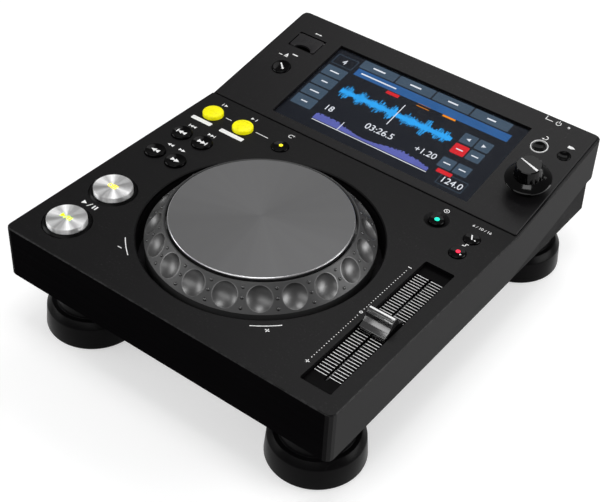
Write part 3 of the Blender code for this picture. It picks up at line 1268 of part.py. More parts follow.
def make_rear(inner_rear):
    panel_rear = inner_rear - GAP
    panel_front = panel_rear - REAR_PANEL_THICKNESS
    panel_face = inner_rear + WALL / 2
    half_height = REAR_PANEL_HEIGHT / 2
    panel_shape = block(
        (-REAR_PANEL_WIDTH / 2, panel_front, SOCKET_HEIGHT - half_height),
        (REAR_PANEL_WIDTH / 2, panel_face, SOCKET_HEIGHT + half_height),
    )
    panel = place("rear_panel", panel_shape, PURE_BLACK, smooth=False)
    sockets = [
        (
            "power_inlet", from_right(INLET_FROM_RIGHT), INLET_WIDTH, INLET_HEIGHT,
            INLET_MOUTH_WIDTH, INLET_MOUTH_HEIGHT, PURE_BLACK,
        ),
        (
            "link_socket", LINK_FROM_MIDDLE, LINK_WIDTH, LINK_HEIGHT,
            LINK_MOUTH_WIDTH, LINK_MOUTH_HEIGHT, STEEL,
        ),
        (
            "usb_device_socket", USB_DEVICE_FROM_MIDDLE, USB_DEVICE_WIDTH, USB_DEVICE_HEIGHT,
            USB_DEVICE_MOUTH_WIDTH, USB_DEVICE_MOUTH_HEIGHT, STEEL,
        ),
    ]
    cuts = []
    low = panel_front - PAST
    high = CASE_DEPTH / 2
    for name, x, width, height, mouth_width, mouth_height, finish in sockets:
        outline = rounded_outline(width + 2 * GAP, height + 2 * GAP, GAP, 2)
        cuts.append(along_y(slab(outline, low, high), x, 0, SOCKET_HEIGHT))
        rear_block(name, x, width, height, mouth_width, mouth_height, panel_face, finish)
    button_radius = TEMPO_BUTTON_RADIUS
    power_hole = disc(button_radius + GAP, low, high, ROUND_STEPS)
    power_x = from_right(POWER_FROM_RIGHT)
    cuts.append(along_y(power_hole, power_x, 0, SOCKET_HEIGHT))
    sleeve = AUDIO_SLEEVE_RADIUS
    audio_left = from_left(AUDIO_FROM_LEFT)
    for x in (audio_left, audio_left - AUDIO_PITCH):
        cuts.append(along_y(disc(sleeve + GAP, low, high, ROUND_STEPS), x, 0, SOCKET_HEIGHT))
    combine(panel, "rear_panel_holes", cuts)

    barrel = sleeve * AUDIO_BARREL_SHARE
    pin_bore = barrel * AUDIO_BORE_SHARE
    tip = CASE_DEPTH / 2 - GAP - inner_rear
    nose = WALL
    jack = [
        (0, -SOCKET_DEPTH), (2 * barrel, -SOCKET_DEPTH), (2 * barrel, -2 * WALL),
        (sleeve, -2 * WALL), (sleeve, nose), (barrel, nose), (barrel, tip),
        (pin_bore, tip), (pin_bore, -nose), (0, -nose),
    ]
    for name, x in (("left", audio_left), ("right", audio_left - AUDIO_PITCH)):
        shape = along_y(turned(jack, SMALL_STEPS), 0, 0, 0)
        place("audio_socket_" + name, shape, STEEL, location=(x, inner_rear, SOCKET_HEIGHT))
    rear_skin = panel_face - panel_front
    press = button_profile(button_radius, 2 * SMALL_RISE, rear_skin)
    shape = along_y(turned(press, SMALL_STEPS), 0, 0, 0)
    place("power_button", shape, GLOSS_BLACK, location=(power_x, panel_face, SOCKET_HEIGHT))


def main():
    clear_scene()
    head_frame = bpy.data.objects.new("head_frame", None)
    bpy.context.scene.collection.objects.link(head_frame)
    head_frame.location = (0, FOLD, DECK_HEIGHT)
    head_frame.rotation_euler = (HEAD_TILT, 0, 0)
    make_top_case(head_frame)
    inner_rear = make_bottom_case()
    make_floor_boards()
    make_control_board()
    make_deck_buttons()
    make_play_buttons()
    make_jog()
    make_slider()
    make_head_panel(head_frame)
    make_screen(head_frame)
    make_head_board(head_frame)
    make_usb(head_frame)
    make_head_buttons(head_frame)
    make_selector(head_frame)
    make_feet()
    make_rear(inner_rear)


main()
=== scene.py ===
"""Looks of a compact media player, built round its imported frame.

Shapes are drawn in millimetres on a drawing board and scaled as they are placed. DECK has x from
the middle, y from the front edge and z above the deck. HEAD has y up the slope from the fold and z
square to the head panel. POWER has z to the rear, out of the power button. GROUND is the object's
own frame.
"""

import math

import bmesh
import bpy
from mathutils import Matrix, Vector


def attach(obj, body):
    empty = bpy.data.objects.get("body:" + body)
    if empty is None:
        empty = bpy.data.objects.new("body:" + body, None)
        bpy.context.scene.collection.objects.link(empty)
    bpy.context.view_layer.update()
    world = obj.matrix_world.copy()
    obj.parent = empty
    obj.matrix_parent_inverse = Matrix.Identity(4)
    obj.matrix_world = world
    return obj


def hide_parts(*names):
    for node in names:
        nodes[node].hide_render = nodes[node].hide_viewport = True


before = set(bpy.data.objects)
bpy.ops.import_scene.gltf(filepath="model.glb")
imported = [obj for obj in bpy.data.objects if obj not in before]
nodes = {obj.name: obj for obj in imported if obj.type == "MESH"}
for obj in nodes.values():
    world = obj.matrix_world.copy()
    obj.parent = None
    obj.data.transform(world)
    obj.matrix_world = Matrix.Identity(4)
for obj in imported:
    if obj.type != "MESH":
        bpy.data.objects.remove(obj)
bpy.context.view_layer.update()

MM = 0.001
HALF_WIDTH = 108
HALF_DEPTH = 132
DECK_TOP = 72
FOLD_Y = 38
HEAD_TILT = 10.5

GROUND = Matrix.Scale(MM, 4)
DECK = Matrix.Translation((0, -HALF_DEPTH * MM, DECK_TOP * MM)) @ GROUND
FOLD = Matrix.Translation((0, FOLD_Y * MM, DECK_TOP * MM))
HEAD = FOLD @ Matrix.Rotation(math.radians(HEAD_TILT), 4, "X") @ GROUND
POWER = Matrix.Translation((0.054, 0.1225, 0.050)) @ Matrix.Rotation(math.radians(-90), 4, "X") @ GROUND

JOG_Y = 82.9
SLIDER = (89.45, 66.5)
KNOB = (93.3, 34.7)
USB_COVER = (-86.8, 67.95)
PLACES = {
    "play_button": (-85.2, 23.6), "cue_button": (-85.2, 58.9),
    "search_back_button": (-92.9, 101.4), "search_forward_button": (-77.5, 101.4),
    "track_back_button": (-92.9, 124.5), "track_forward_button": (-77.5, 124.5),
    "loop_in_button": (-92.0, 151.6), "loop_out_button": (-69.2, 151.6), "reloop_button": (-41.2, 151.6),
    "vinyl_mode_button": (65.8, 154.1), "tempo_range_button": (89.6, 152.3),
    "master_tempo_button": (89.6, 137.5), "usb_stop_button": (-86.6, 41.1),
    "back_button": (81.9, 67.2), "tag_track_button": (97.6, 68.0), "power_button": (0, 0),
}

RIM_CREST = Vector((52.1, 11.2))
RIM_FOOT = Vector((62.4, -1.0))
DIMPLE_COUNT = 20
DIMPLE_STEP = 360 / DIMPLE_COUNT
DIMPLE_TURN = 1.8
DIMPLE_RADIUS = 6.885
DIMPLE_DEPTH = 2.2
WELL_RADIUS = 66.84

INK_LOW, INK_HIGH = -0.02, 0.035
PICTURE_FOOT, GROUND_FACE, PATCH_FACE, MARK_FACE = -3.28, -2.92, -2.88, -2.84
PICTURE_LEFT = -65.9
PICTURE_REAR = 77.9


# Shapes

def to_mesh(name, shape):
    """Turns a bmesh into a mesh with its faces outward and frees it."""
    bmesh.ops.recalc_face_normals(shape, faces=shape.faces)
    mesh = bpy.data.meshes.new(name)
    shape.to_mesh(mesh)
    shape.free()
    return mesh


def linked(name, data):
    """A new object in the scene."""
    made = bpy.data.objects.new(name, data)
    bpy.context.scene.collection.objects.link(made)
    return made


def baked(carrier):
    """The mesh of an object with its modifiers applied."""
    bpy.context.view_layer.update()
    graph = bpy.context.evaluated_depsgraph_get()
    return bpy.data.meshes.new_from_object(carrier.evaluated_get(graph))


def moved(shape, x, y, z=0):
    bmesh.ops.translate(shape, verts=shape.verts, vec=(x, y, z))
    return shape


def lathe(profile, steps=96, x=0, y=0):
    """Spins a (radius, height) profile round an upright line."""
    shape = bmesh.new()
    verts = [shape.verts.new((radius, 0, height)) for radius, height in profile]
    edges = [shape.edges.new(pair) for pair in zip(verts, verts[1:])]
    if profile[0][0] > 0:
        edges.append(shape.edges.new((verts[-1], verts[0])))
    bmesh.ops.spin(
        shape, geom=verts + edges, cent=(0, 0, 0), axis=(0, 0, 1),
        angle=2 * math.pi, steps=steps, use_merge=True,
    )
    bmesh.ops.remove_doubles(shape, verts=shape.verts, dist=0.0005)
    return moved(shape, x, y)


def disc(radius, low, high, steps=48, x=0, y=0):
    return lathe([(0, high), (radius, high), (radius, low), (0, low)], steps, x, y)


def washer(inner, outer, low, high, steps=64, x=0, y=0):
    return lathe([(inner, high), (outer, high), (outer, low), (inner, low)], steps, x, y)


def block(x, y, width, length, low, high, turn=0):
    shape = bmesh.new()
    size = Matrix.Diagonal((width, length, high - low, 1))
    place = Matrix.Translation((x, y, (low + high) / 2)) @ Matrix.Rotation(math.radians(turn), 4, "Z")
    bmesh.ops.create_cube(shape, size=1, matrix=place @ size)
    return shape


def prism(outline, low, high):
    shape = bmesh.new()
    face = shape.faces.new([shape.verts.new((x, y, low)) for x, y in outline])
    grown = bmesh.ops.extrude_face_region(shape, geom=[face])["geom"]
    upper = [item for item in grown if isinstance(item, bmesh.types.BMVert)]
    bmesh.ops.translate(shape, verts=upper, vec=(0, 0, high - low))
    return shape


def rounded_bar(x, y, width, length, radius, low, high):
    """A flat bar with round corners."""
    shape = block(0, 0, width, length, low, high)
    upright = [edge for edge in shape.edges if abs(edge.verts[0].co.z - edge.verts[1].co.z) > 1e-6]
    bmesh.ops.bevel(
        shape, geom=upright, offset=radius, segments=6, profile=0.5, affect="EDGES", material=-1
    )
    return moved(shape, x, y)


def arc_bar(x, y, radius, start, sweep, width, low, high):
    """A bar bent round a centre; angles in degrees from +X."""
    shape = bmesh.new()
    bmesh.ops.create_grid(
        shape, x_segments=1, y_segments=1, size=0.5,
        matrix=Matrix.Translation((radius, 0, (low + high) / 2))
        @ Matrix.Rotation(math.radians(90), 4, "X") @ Matrix.Diagonal((width, high - low, 1, 1)),
    )
    bmesh.ops.rotate(
        shape, verts=shape.verts, cent=(0, 0, 0), matrix=Matrix.Rotation(math.radians(start), 3, "Z")
    )
    bmesh.ops.spin(
        shape, geom=shape.verts[:] + shape.edges[:] + shape.faces[:], cent=(0, 0, 0), axis=(0, 0, 1),
        angle=math.radians(sweep), steps=max(4, round(abs(sweep) / 6)), use_merge=False,
    )
    return moved(shape, x, y)


def triangle(x, y, size, low, high, turn=0):
    """A play triangle that points to +X."""
    shape = prism([(-size / 2, -size / 2), (size / 2, 0), (-size / 2, size / 2)], low, high)
    shape.transform(Matrix.Translation((x, y, 0)) @ Matrix.Rotation(math.radians(turn), 4, "Z"))
    return shape


def digits(text, x, y, height, low, thickness):
    """Plain numerals, cut from a flat text curve."""
    curve = bpy.data.curves.new("numerals", "FONT")
    curve.body = text
    curve.size = height / 0.7
    curve.align_x = "CENTER"
    curve.extrude = thickness / 2
    carrier = linked("numerals", curve)
    mesh = baked(carrier)
    shape = bmesh.new()
    shape.from_mesh(mesh)
    bpy.data.objects.remove(carrier)
    bpy.data.curves.remove(curve)
    bpy.data.meshes.remove(mesh)
    bmesh.ops.remove_doubles(shape, verts=shape.verts, dist=0.0005)
    return moved(shape, x, y - height / 2, low + thickness / 2)


def together(shapes):
    """One bmesh of several shapes."""
    whole = bmesh.new()
    for shape in shapes:
        mesh = to_mesh("part", shape)
        whole.from_mesh(mesh)
        bpy.data.meshes.remove(mesh)
    return whole


def soften(shape, width, segments=3, angle=30):
    """Rounds every edge that is sharper than an angle."""
    bmesh.ops.recalc_face_normals(shape, faces=shape.faces)
    sharp = [
        edge for edge in shape.edges
        if len(edge.link_faces) == 2 and edge.calc_face_angle() > math.radians(angle)
    ]
    bmesh.ops.bevel(
        shape, geom=sharp, offset=width, segments=segments, profile=0.5, affect="EDGES", material=-1,
        clamp_overlap=True,
    )
    return shape


def piece(name, shape, body, material, board=DECK, stands_for=(), smooth=35):
    """Places a finished shape as one piece that rides on a body."""
    shape.transform(board)
    mesh = to_mesh(name, shape)
    made = linked(name, mesh)
    mesh.materials.append(material)
    if smooth:
        mesh.shade_smooth()
        mesh.set_sharp_from_angle(angle=math.radians(smooth))
    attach(made, body)
    if stands_for:
        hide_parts(*stands_for)


def carve(shape, cutters):
    """Cuts shapes out of another and gives back the result."""
    body, tool = [linked("carving", to_mesh("carving", part)) for part in (shape, together(cutters))]
    cut = body.modifiers.new("cut", "BOOLEAN")
    cut.operation = "DIFFERENCE"
    cut.solver = "EXACT"
    cut.object = tool
    result = bmesh.new()
    result.from_mesh(baked(body))
    for holder in (body, tool):
        bpy.data.objects.remove(holder)
    return result


# Materials

def feed(tree, socket, value):
    """Links a socket or fills it with a plain value."""
    if isinstance(value, bpy.types.NodeSocket):
        tree.links.new(value, socket)
    else:
        socket.default_value = value


def fill(tree, node, **values):
    """Feeds a node's inputs."""
    for label, value in values.items():
        feed(tree, node.inputs[label.replace("_", " ")], value)


def add(tree, kind, links=None, **settings):
    """Adds a node, sets it and feeds its inputs."""
    node = tree.nodes.new(kind)
    for key, value in settings.items():
        setattr(node, key, value)
    for name, value in (links or {}).items():
        feed(tree, node.inputs[name], value)
    return node


def effect(name, inputs, outputs):
    """An empty node group with named sockets; only Colour carries a colour out."""
    tree = bpy.data.node_groups.new(name, "ShaderNodeTree")
    for label, value in inputs.items():
        kind = {1: "Float", 3: "Vector", 4: "Color"}[len(value) if isinstance(value, tuple) else 1]
        socket = tree.interface.new_socket(name=label, in_out="INPUT", socket_type="NodeSocket" + kind)
        socket.default_value = value
    for label in outputs:
        kind = "NodeSocketColor" if label == "Colour" else "NodeSocketFloat"
        tree.interface.new_socket(name=label, in_out="OUTPUT", socket_type=kind)
    return tree, add(tree, "NodeGroupInput").outputs, add(tree, "NodeGroupOutput").inputs


def sums(tree, operation, first, second=0.0, clamp=False):
    """A sum on two values."""
    links = {0: first, 1: second}
    return add(tree, "ShaderNodeMath", links, operation=operation, use_clamp=clamp).outputs[0]


def vectors(tree, operation, first, second=(0, 0, 0), result="Vector"):
    """A sum on two vectors."""
    links = {0: first, 1: second}
    return add(tree, "ShaderNodeVectorMath", links, operation=operation).outputs[result]


def split(tree, vector):
    """The X, Y and Z of a vector."""
    return add(tree, "ShaderNodeSeparateXYZ", {0: vector}).outputs


def spread(tree, value, low, high, to_low, to_high):
    """Maps a value from one range to another and holds it there."""
    return add(
        tree, "ShaderNodeMapRange",
        {"Value": value, "From Min": low, "From Max": high, "To Min": to_low, "To Max": to_high},
    ).outputs["Result"]


def noise(tree, where, scale, detail=2.0, **more):
    """Noise in the object's own space."""
    links = {"Vector": where, "Scale": scale, "Detail": detail, **more}
    return add(tree, "ShaderNodeTexNoise", links).outputs["Fac"]


def place_in(tree):
    """The place on the object."""
    return add(tree, "ShaderNodeTexCoord").outputs["Object"]


def shaded(tree, colour, factor):
    """A colour made lighter or darker by a factor."""
    if not isinstance(colour, bpy.types.NodeSocket):
        picked = add(tree, "ShaderNodeRGB").outputs[0]
        picked.default_value = colour
        colour = picked
    links = {0: colour, "Scale": factor}
    return add(tree, "ShaderNodeVectorMath", links, operation="SCALE").outputs[0]


def tinted(tree, mask, base, other):
    """Mixes two colours by a mask."""
    mix = add(tree, "ShaderNodeMix", {0: mask}, data_type="RGBA")
    colour_in = [socket for socket in mix.inputs if socket.type == "RGBA"]
    for socket, value in zip(colour_in, (base, other)):
        feed(tree, socket, value)
    return [socket for socket in mix.outputs if socket.type == "RGBA"][0]


def make_moulded_skin():
    """Spark-eroded plastic: fine grain, slow colour drift, and palms that polish it here and there."""
    tree, given, out = effect(
        "moulded_skin",
        {
            "Colour": (0.02, 0.02, 0.02, 1), "Roughness": 0.45, "Grain Size": 0.35, "Polish": 0.08,
            "Drift": 0.12,
        },
        ("Colour", "Roughness", "Height"),
    )
    where = place_in(tree)
    grain = noise(tree, where, sums(tree, "DIVIDE", 1000.0, given["Grain Size"]), Roughness=0.6)
    slow = noise(tree, where, 14.0, 4.0, Roughness=0.55)
    drift = sums(tree, "MULTIPLY", spread(tree, slow, 0.3, 0.7, -1.0, 1.0), given["Drift"])
    speck = spread(tree, grain, 0.35, 0.65, 0.93, 1.07)
    shade = sums(tree, "MULTIPLY", sums(tree, "ADD", 1.0, drift), speck)
    tree.links.new(shaded(tree, given["Colour"], shade), out["Colour"])
    palms = noise(tree, where, 33.0, 3.0, Distortion=0.6)
    polish = sums(tree, "MULTIPLY", spread(tree, palms, 0.45, 0.7, 0.0, 1.0), given["Polish"])
    rough = sums(tree, "SUBTRACT", given["Roughness"], polish)
    uneven = spread(tree, grain, 0.3, 0.7, -0.03, 0.03)
    tree.links.new(sums(tree, "ADD", rough, uneven), out["Roughness"])
    tree.links.new(grain, out["Height"])
    return tree


def make_hairline():
    """Straight brushing: long fine scratches."""
    tree, given, out = effect(
        "hairline", {"Stretch": (6.0, 900.0, 900.0), "Contrast": 0.2}, ("Mask", "Height")
    )
    lines = noise(tree, vectors(tree, "MULTIPLY", place_in(tree), given["Stretch"]), 1.0, 3.0)
    half = sums(tree, "MULTIPLY", given["Contrast"], 0.5)
    low = sums(tree, "SUBTRACT", 1.0, half)
    high = sums(tree, "ADD", 1.0, half)
    tree.links.new(spread(tree, lines, 0.3, 0.7, low, high), out["Mask"])
    tree.links.new(lines, out["Height"])
    return tree


def make_lathe_marks_and_sheen():
    """Fine rings left by turning, and faint painted sheen in spokes round the same centre."""
    tree, given, out = effect(
        "lathe_marks_and_sheen", {"Centre": (0, 0, 0), "Pitch": 0.15, "Fan": 0.06}, ("Rings", "Fan")
    )
    arm = vectors(tree, "SUBTRACT", place_in(tree), given["Centre"])
    flat = vectors(tree, "MULTIPLY", arm, (1, 1, 0))
    reach = vectors(tree, "LENGTH", flat, result="Value")
    turns = sums(tree, "MULTIPLY", reach, sums(tree, "DIVIDE", 1000.0, given["Pitch"]))
    rings = add(tree, "ShaderNodeTexNoise", {"W": turns, "Scale": 1.0, "Detail": 2.0}, noise_dimensions="1D")
    tree.links.new(rings.outputs["Fac"], out["Rings"])
    # Lighter and darker spokes round the centre: painted sheen, carried to the base colour.
    ways = noise(tree, vectors(tree, "NORMALIZE", flat), 5.0, 3.0)
    low = sums(tree, "SUBTRACT", 1.0, given["Fan"])
    high = sums(tree, "ADD", 1.0, given["Fan"])
    tree.links.new(spread(tree, ways, 0.3, 0.7, low, high), out["Fan"])
    return tree


def make_edge_wear_and_highlight():
    """Rubbed edges of the case and a painted highlight along them: a ragged band where two of its outer faces
    meet.

    The top follows the deck as far as the fold and the tilted head behind it.
    """
    tree, given, out = effect(
        "edge_wear_and_highlight",
        {
            "Half": (HALF_WIDTH * MM, HALF_DEPTH * MM, 0.0), "Deck Height": DECK_TOP * MM,
            "Fold": FOLD_Y * MM, "Slope": 0.1853, "Band": 0.0008,
        },
        ("Mask",),
    )
    where = place_in(tree)
    inward = split(tree, vectors(tree, "SUBTRACT", given["Half"], vectors(tree, "ABSOLUTE", where)))
    spot = split(tree, where)
    behind = sums(tree, "MAXIMUM", sums(tree, "SUBTRACT", spot["Y"], given["Fold"]))
    top = sums(tree, "ADD", given["Deck Height"], sums(tree, "MULTIPLY", behind, given["Slope"]))
    below = sums(tree, "ABSOLUTE", sums(tree, "SUBTRACT", top, spot["Z"]))
    near_pair = sums(tree, "MINIMUM", inward["X"], inward["Y"])
    far_pair = sums(tree, "MAXIMUM", inward["X"], inward["Y"])
    second = sums(tree, "MINIMUM", far_pair, sums(tree, "MAXIMUM", near_pair, below))
    ragged = noise(tree, where, 260.0, 5.0, Roughness=0.7)
    reach = sums(tree, "MULTIPLY", given["Band"], spread(tree, ragged, 0.35, 0.75, 0.3, 1.6))
    edge = sums(tree, "DIVIDE", sums(tree, "SUBTRACT", reach, second), given["Band"])
    tree.links.new(spread(tree, edge, 0.0, 0.5, 0.0, 1.0), out["Mask"])
    return tree


def make_dimple_mask():
    """Finds the finger dimples on the jog wheel's slope and a thin band round each of them, where a highlight
    is painted.
    """
    tree, given, out = effect(
        "dimple_mask",
        {
            "Centre": (0, (JOG_Y - HALF_DEPTH) * MM, DECK_TOP * MM), "Turn": 0.0,
            "Count": float(DIMPLE_COUNT), "Middle Radius": 0.05725, "Middle Height": 0.0051, "Slope": 0.87,
            "Radius": DIMPLE_RADIUS * MM,
        },
        ("Inside", "Line"),
    )
    arm = vectors(tree, "SUBTRACT", place_in(tree), given["Centre"])
    reach = vectors(tree, "LENGTH", vectors(tree, "MULTIPLY", arm, (1, 1, 0)), result="Value")
    axes = split(tree, arm)
    step = sums(tree, "DIVIDE", 2 * math.pi, given["Count"])
    angle = sums(tree, "SUBTRACT", sums(tree, "ARCTAN2", axes["Y"], axes["X"]), given["Turn"])
    share = sums(tree, "FRACT", sums(tree, "ADD", sums(tree, "DIVIDE", angle, step), 0.5))
    swing = sums(tree, "MULTIPLY", sums(tree, "SUBTRACT", share, 0.5), step)
    sideways = sums(tree, "MULTIPLY", reach, swing)
    outward = sums(tree, "SUBTRACT", reach, given["Middle Radius"])
    upward = sums(tree, "SUBTRACT", axes["Z"], given["Middle Height"])
    out_part = sums(tree, "MULTIPLY", outward, sums(tree, "COSINE", given["Slope"]))
    up_part = sums(tree, "MULTIPLY", upward, sums(tree, "SINE", given["Slope"]))
    downhill = sums(tree, "SUBTRACT", out_part, up_part)
    squares = sums(tree, "ADD", sums(tree, "POWER", sideways, 2.0), sums(tree, "POWER", downhill, 2.0))
    past = sums(tree, "SUBTRACT", sums(tree, "SQRT", squares), given["Radius"])
    tree.links.new(spread(tree, past, -0.00008, 0.00008, 1.0, 0.0), out["Inside"])
    tree.links.new(spread(tree, sums(tree, "ABSOLUTE", past), 0.00008, 0.0003, 1.0, 0.0), out["Line"])
    return tree


def make_dust():
    """Loose pale specks that settle on faces that look up."""
    tree, given, out = effect("dust", {"Amount": 0.2, "Scale": 900.0}, ("Mask",))
    where = place_in(tree)
    cloud = spread(tree, noise(tree, where, 40.0, 3.0), 0.4, 0.7, 0.2, 1.0)
    specks = spread(tree, noise(tree, where, given["Scale"], 4.0), 0.58, 0.72, 0.0, 1.0)
    upward = split(tree, add(tree, "ShaderNodeNewGeometry").outputs["Normal"])["Z"]
    amount = sums(tree, "MULTIPLY", given["Amount"], spread(tree, upward, 0.3, 0.9, 0.0, 1.0))
    tree.links.new(sums(tree, "MULTIPLY", amount, sums(tree, "MULTIPLY", specks, cloud)), out["Mask"])
    return tree


MOULDED = make_moulded_skin()
HAIRLINE = make_hairline()
LATHE_MARKS_AND_SHEEN = make_lathe_marks_and_sheen()
EDGE_WEAR_AND_HIGHLIGHT = make_edge_wear_and_highlight()
DIMPLES = make_dimple_mask()
DUST = make_dust()


def use(tree, group, **values):
    """Adds an effect and feeds its inputs."""
    node = add(tree, "ShaderNodeGroup", node_tree=group)
    fill(tree, node, **values)
    return node.outputs


def grey(level, blue=0.0):
    return (level, level, level + blue, 1.0)


def black(level):
    """A black with the faint violet cast of dyed plastic."""
    return (level * 1.03, level * 0.95, level * 1.06, 1.0)


def start(name):
    """A new material, its tree and its shader."""
    material = bpy.data.materials.new(name)
    material.use_nodes = True
    tree = material.node_tree
    return material, tree, tree.nodes["Principled BSDF"]


def relief(tree, height, strength, distance=0.0001):
    return add(
        tree, "ShaderNodeBump", {"Height": height, "Strength": strength, "Distance": distance}
    ).outputs["Normal"]


def plastic(name, colour, roughness, grain=0.35, bump=0.15, specular=0.35, drift=0.12, dust=0.0):
    """Moulded plastic or rubber."""
    material, tree, shader = start(name)
    skin = use(tree, MOULDED, Colour=colour, Roughness=roughness, Grain_Size=grain, Drift=drift)
    tone = skin["Colour"]
    if dust:
        tone = tinted(tree, use(tree, DUST, Amount=dust)["Mask"], tone, grey(0.35))
    fill(
        tree, shader, Base_Color=tone, Roughness=skin["Roughness"], Specular_IOR_Level=specular,
        Normal=relief(tree, skin["Height"], bump),
    )
    return material


def brushed_plastic(name, colour, roughness, stretch, contrast, sheen, wear_and_highlight_amount):
    """The case's plastic: brushed grain, a satin lacquer on top and sides, pale edges that are rubbed wear
    and a painted highlight, some dust.
    """
    material, tree, shader = start(name)
    skin = use(tree, MOULDED, Colour=colour, Roughness=roughness, Grain_Size=0.3, Polish=0.06, Drift=0.1)
    hair = use(tree, HAIRLINE, Stretch=stretch, Contrast=contrast)
    tone = shaded(tree, skin["Colour"], hair["Mask"])
    # Pale band along the case's edges: rubbed wear, and also a painted highlight where light catches the
    # edges.
    wear_and_highlight = sums(tree, "MULTIPLY", use(tree, EDGE_WEAR_AND_HIGHLIGHT)["Mask"], wear_and_highlight_amount)
    tone = tinted(tree, wear_and_highlight, tone, grey(0.05))
    tone = tinted(tree, use(tree, DUST, Amount=0.04)["Mask"], tone, grey(0.35))
    facing = split(tree, add(tree, "ShaderNodeNewGeometry").outputs["Normal"])
    sides = sums(tree, "MULTIPLY", sums(tree, "ABSOLUTE", facing["X"]), 0.9)
    lacquer = sums(tree, "MULTIPLY", sums(tree, "MAXIMUM", facing["Z"], sides), sheen, clamp=True)
    fill(
        tree, shader, Base_Color=tone, Roughness=skin["Roughness"], Specular_IOR_Level=0.0,
        Coat_Weight=lacquer, Coat_Roughness=roughness, Normal=relief(tree, hair["Height"], 0.12),
    )
    return material


def rim_finish():
    """The jog wheel's rim: matt lacquer between the dimples, a glossy coat in them over a near-black colour
    that is painted shade in the hollows, and a painted highlight line round each.
    """
    material, tree, shader = start("rim_lacquer")
    spots = use(tree, DIMPLES, Turn=math.radians(DIMPLE_TURN))
    skin = use(
        tree, MOULDED, Colour=grey(0.03, 0.0005), Roughness=0.5, Grain_Size=0.25, Polish=0.1, Drift=0.08
    )
    # Near-black colour inside the dimples: painted shade in the hollows; the glossy coat there is the real
    # finish.
    tone = tinted(tree, spots["Inside"], skin["Colour"], black(0.003))
    # Pale line round each dimple: a painted highlight on its edge.
    tone = tinted(tree, sums(tree, "MULTIPLY", spots["Line"], 0.22), tone, grey(0.16))
    fill(
        tree, shader, Base_Color=tone, Roughness=skin["Roughness"], Specular_IOR_Level=0.5,
        Coat_Weight=spots["Inside"], Coat_Roughness=0.36, Coat_IOR=1.75,
        Normal=relief(tree, skin["Height"], 0.03),
    )
    return material


def turned_metal(name, colour, roughness, middle, pitch, painted_sheen, bump, anisotropic, metallic=1.0):
    """Metal faced on a lathe about an upright line through a middle on the deck."""
    material, tree, shader = start(name)
    centre = (middle[0] * MM, (middle[1] - HALF_DEPTH) * MM, 0)
    marks = use(tree, LATHE_MARKS_AND_SHEEN, Centre=centre, Pitch=pitch, Fan=painted_sheen)
    rough = spread(tree, marks["Rings"], 0.3, 0.7, roughness - 0.04, roughness + 0.06)
    # The base colour carries the painted sheen spokes round the middle.
    fill(
        tree, shader, Base_Color=shaded(tree, colour, marks["Fan"]), Roughness=rough, Metallic=metallic,
        Anisotropic=anisotropic, Anisotropic_Rotation=0.25,
        Tangent=add(tree, "ShaderNodeTangent", direction_type="RADIAL", axis="Z").outputs["Tangent"],
        Normal=relief(tree, marks["Rings"], bump, 0.00005),
    )
    return material


def plain_metal(name, colour, roughness, stretch=(900.0, 900.0, 12.0)):
    """Drawn or stamped metal."""
    material, tree, shader = start(name)
    hair = use(tree, HAIRLINE, Stretch=stretch, Contrast=0.25)
    rough = spread(tree, hair["Height"], 0.3, 0.7, roughness - 0.05, roughness + 0.08)
    fill(
        tree, shader, Base_Color=shaded(tree, colour, hair["Mask"]), Metallic=1.0, Roughness=rough,
        Normal=relief(tree, hair["Height"], 0.1),
    )
    return material


def gloss(name, colour, roughness=0.08, specular=0.5, coat=0.0, coat_ior=1.5):
    """Polished plastic with faint smears."""
    material, tree, shader = start(name)
    skin = use(
        tree, MOULDED, Colour=colour, Roughness=roughness + 0.03, Grain_Size=1.4, Polish=0.06, Drift=0.08
    )
    fill(
        tree, shader, Base_Color=skin["Colour"], Roughness=skin["Roughness"], Specular_IOR_Level=specular,
        Coat_Weight=coat, Coat_IOR=coat_ior, Coat_Roughness=roughness,
        Normal=relief(tree, skin["Height"], 0.02),
    )
    return material


def lit(name, colour, strength, uneven=0.15):
    """A lens or a mark lit from inside, a little uneven as light guides are."""
    material, tree, shader = start(name)
    skin = use(tree, MOULDED, Colour=colour, Roughness=0.3, Grain_Size=2.0, Polish=0.05, Drift=uneven)
    fill(
        tree, shader, Base_Color=skin["Colour"], Roughness=skin["Roughness"], Emission_Color=skin["Colour"],
        Emission_Strength=strength, Specular_IOR_Level=0.15,
    )
    return material


def board_lacquer():
    """Green solder mask with paler copper tracks under it."""
    material, tree, shader = start("board_lacquer")
    bricks = {"Vector": place_in(tree), "Scale": 120.0, "Mortar Size": 0.04}
    tracks = add(tree, "ShaderNodeTexBrick", bricks).outputs["Fac"]
    skin = use(tree, MOULDED, Colour=(0.012, 0.11, 0.045, 1), Roughness=0.38, Grain_Size=0.5)
    tone = tinted(tree, tracks, skin["Colour"], (0.03, 0.2, 0.08, 1))
    fill(
        tree, shader, Base_Color=tone, Roughness=skin["Roughness"], Normal=relief(tree, tracks, 0.2)
    )
    return material


def cover_glass():
    """Touch glass with an etched front against glare, and finger smears in its roughness."""
    material, tree, shader = start("touch_glass")
    smears = noise(tree, place_in(tree), 45.0, 4.0, Distortion=1.2)
    rough = spread(tree, smears, 0.5, 0.75, 0.3, 0.36)
    fill(
        tree, shader, Base_Color=(0.94, 0.96, 0.97, 1), Roughness=rough, Transmission_Weight=1.0, IOR=1.1
    )
    return material


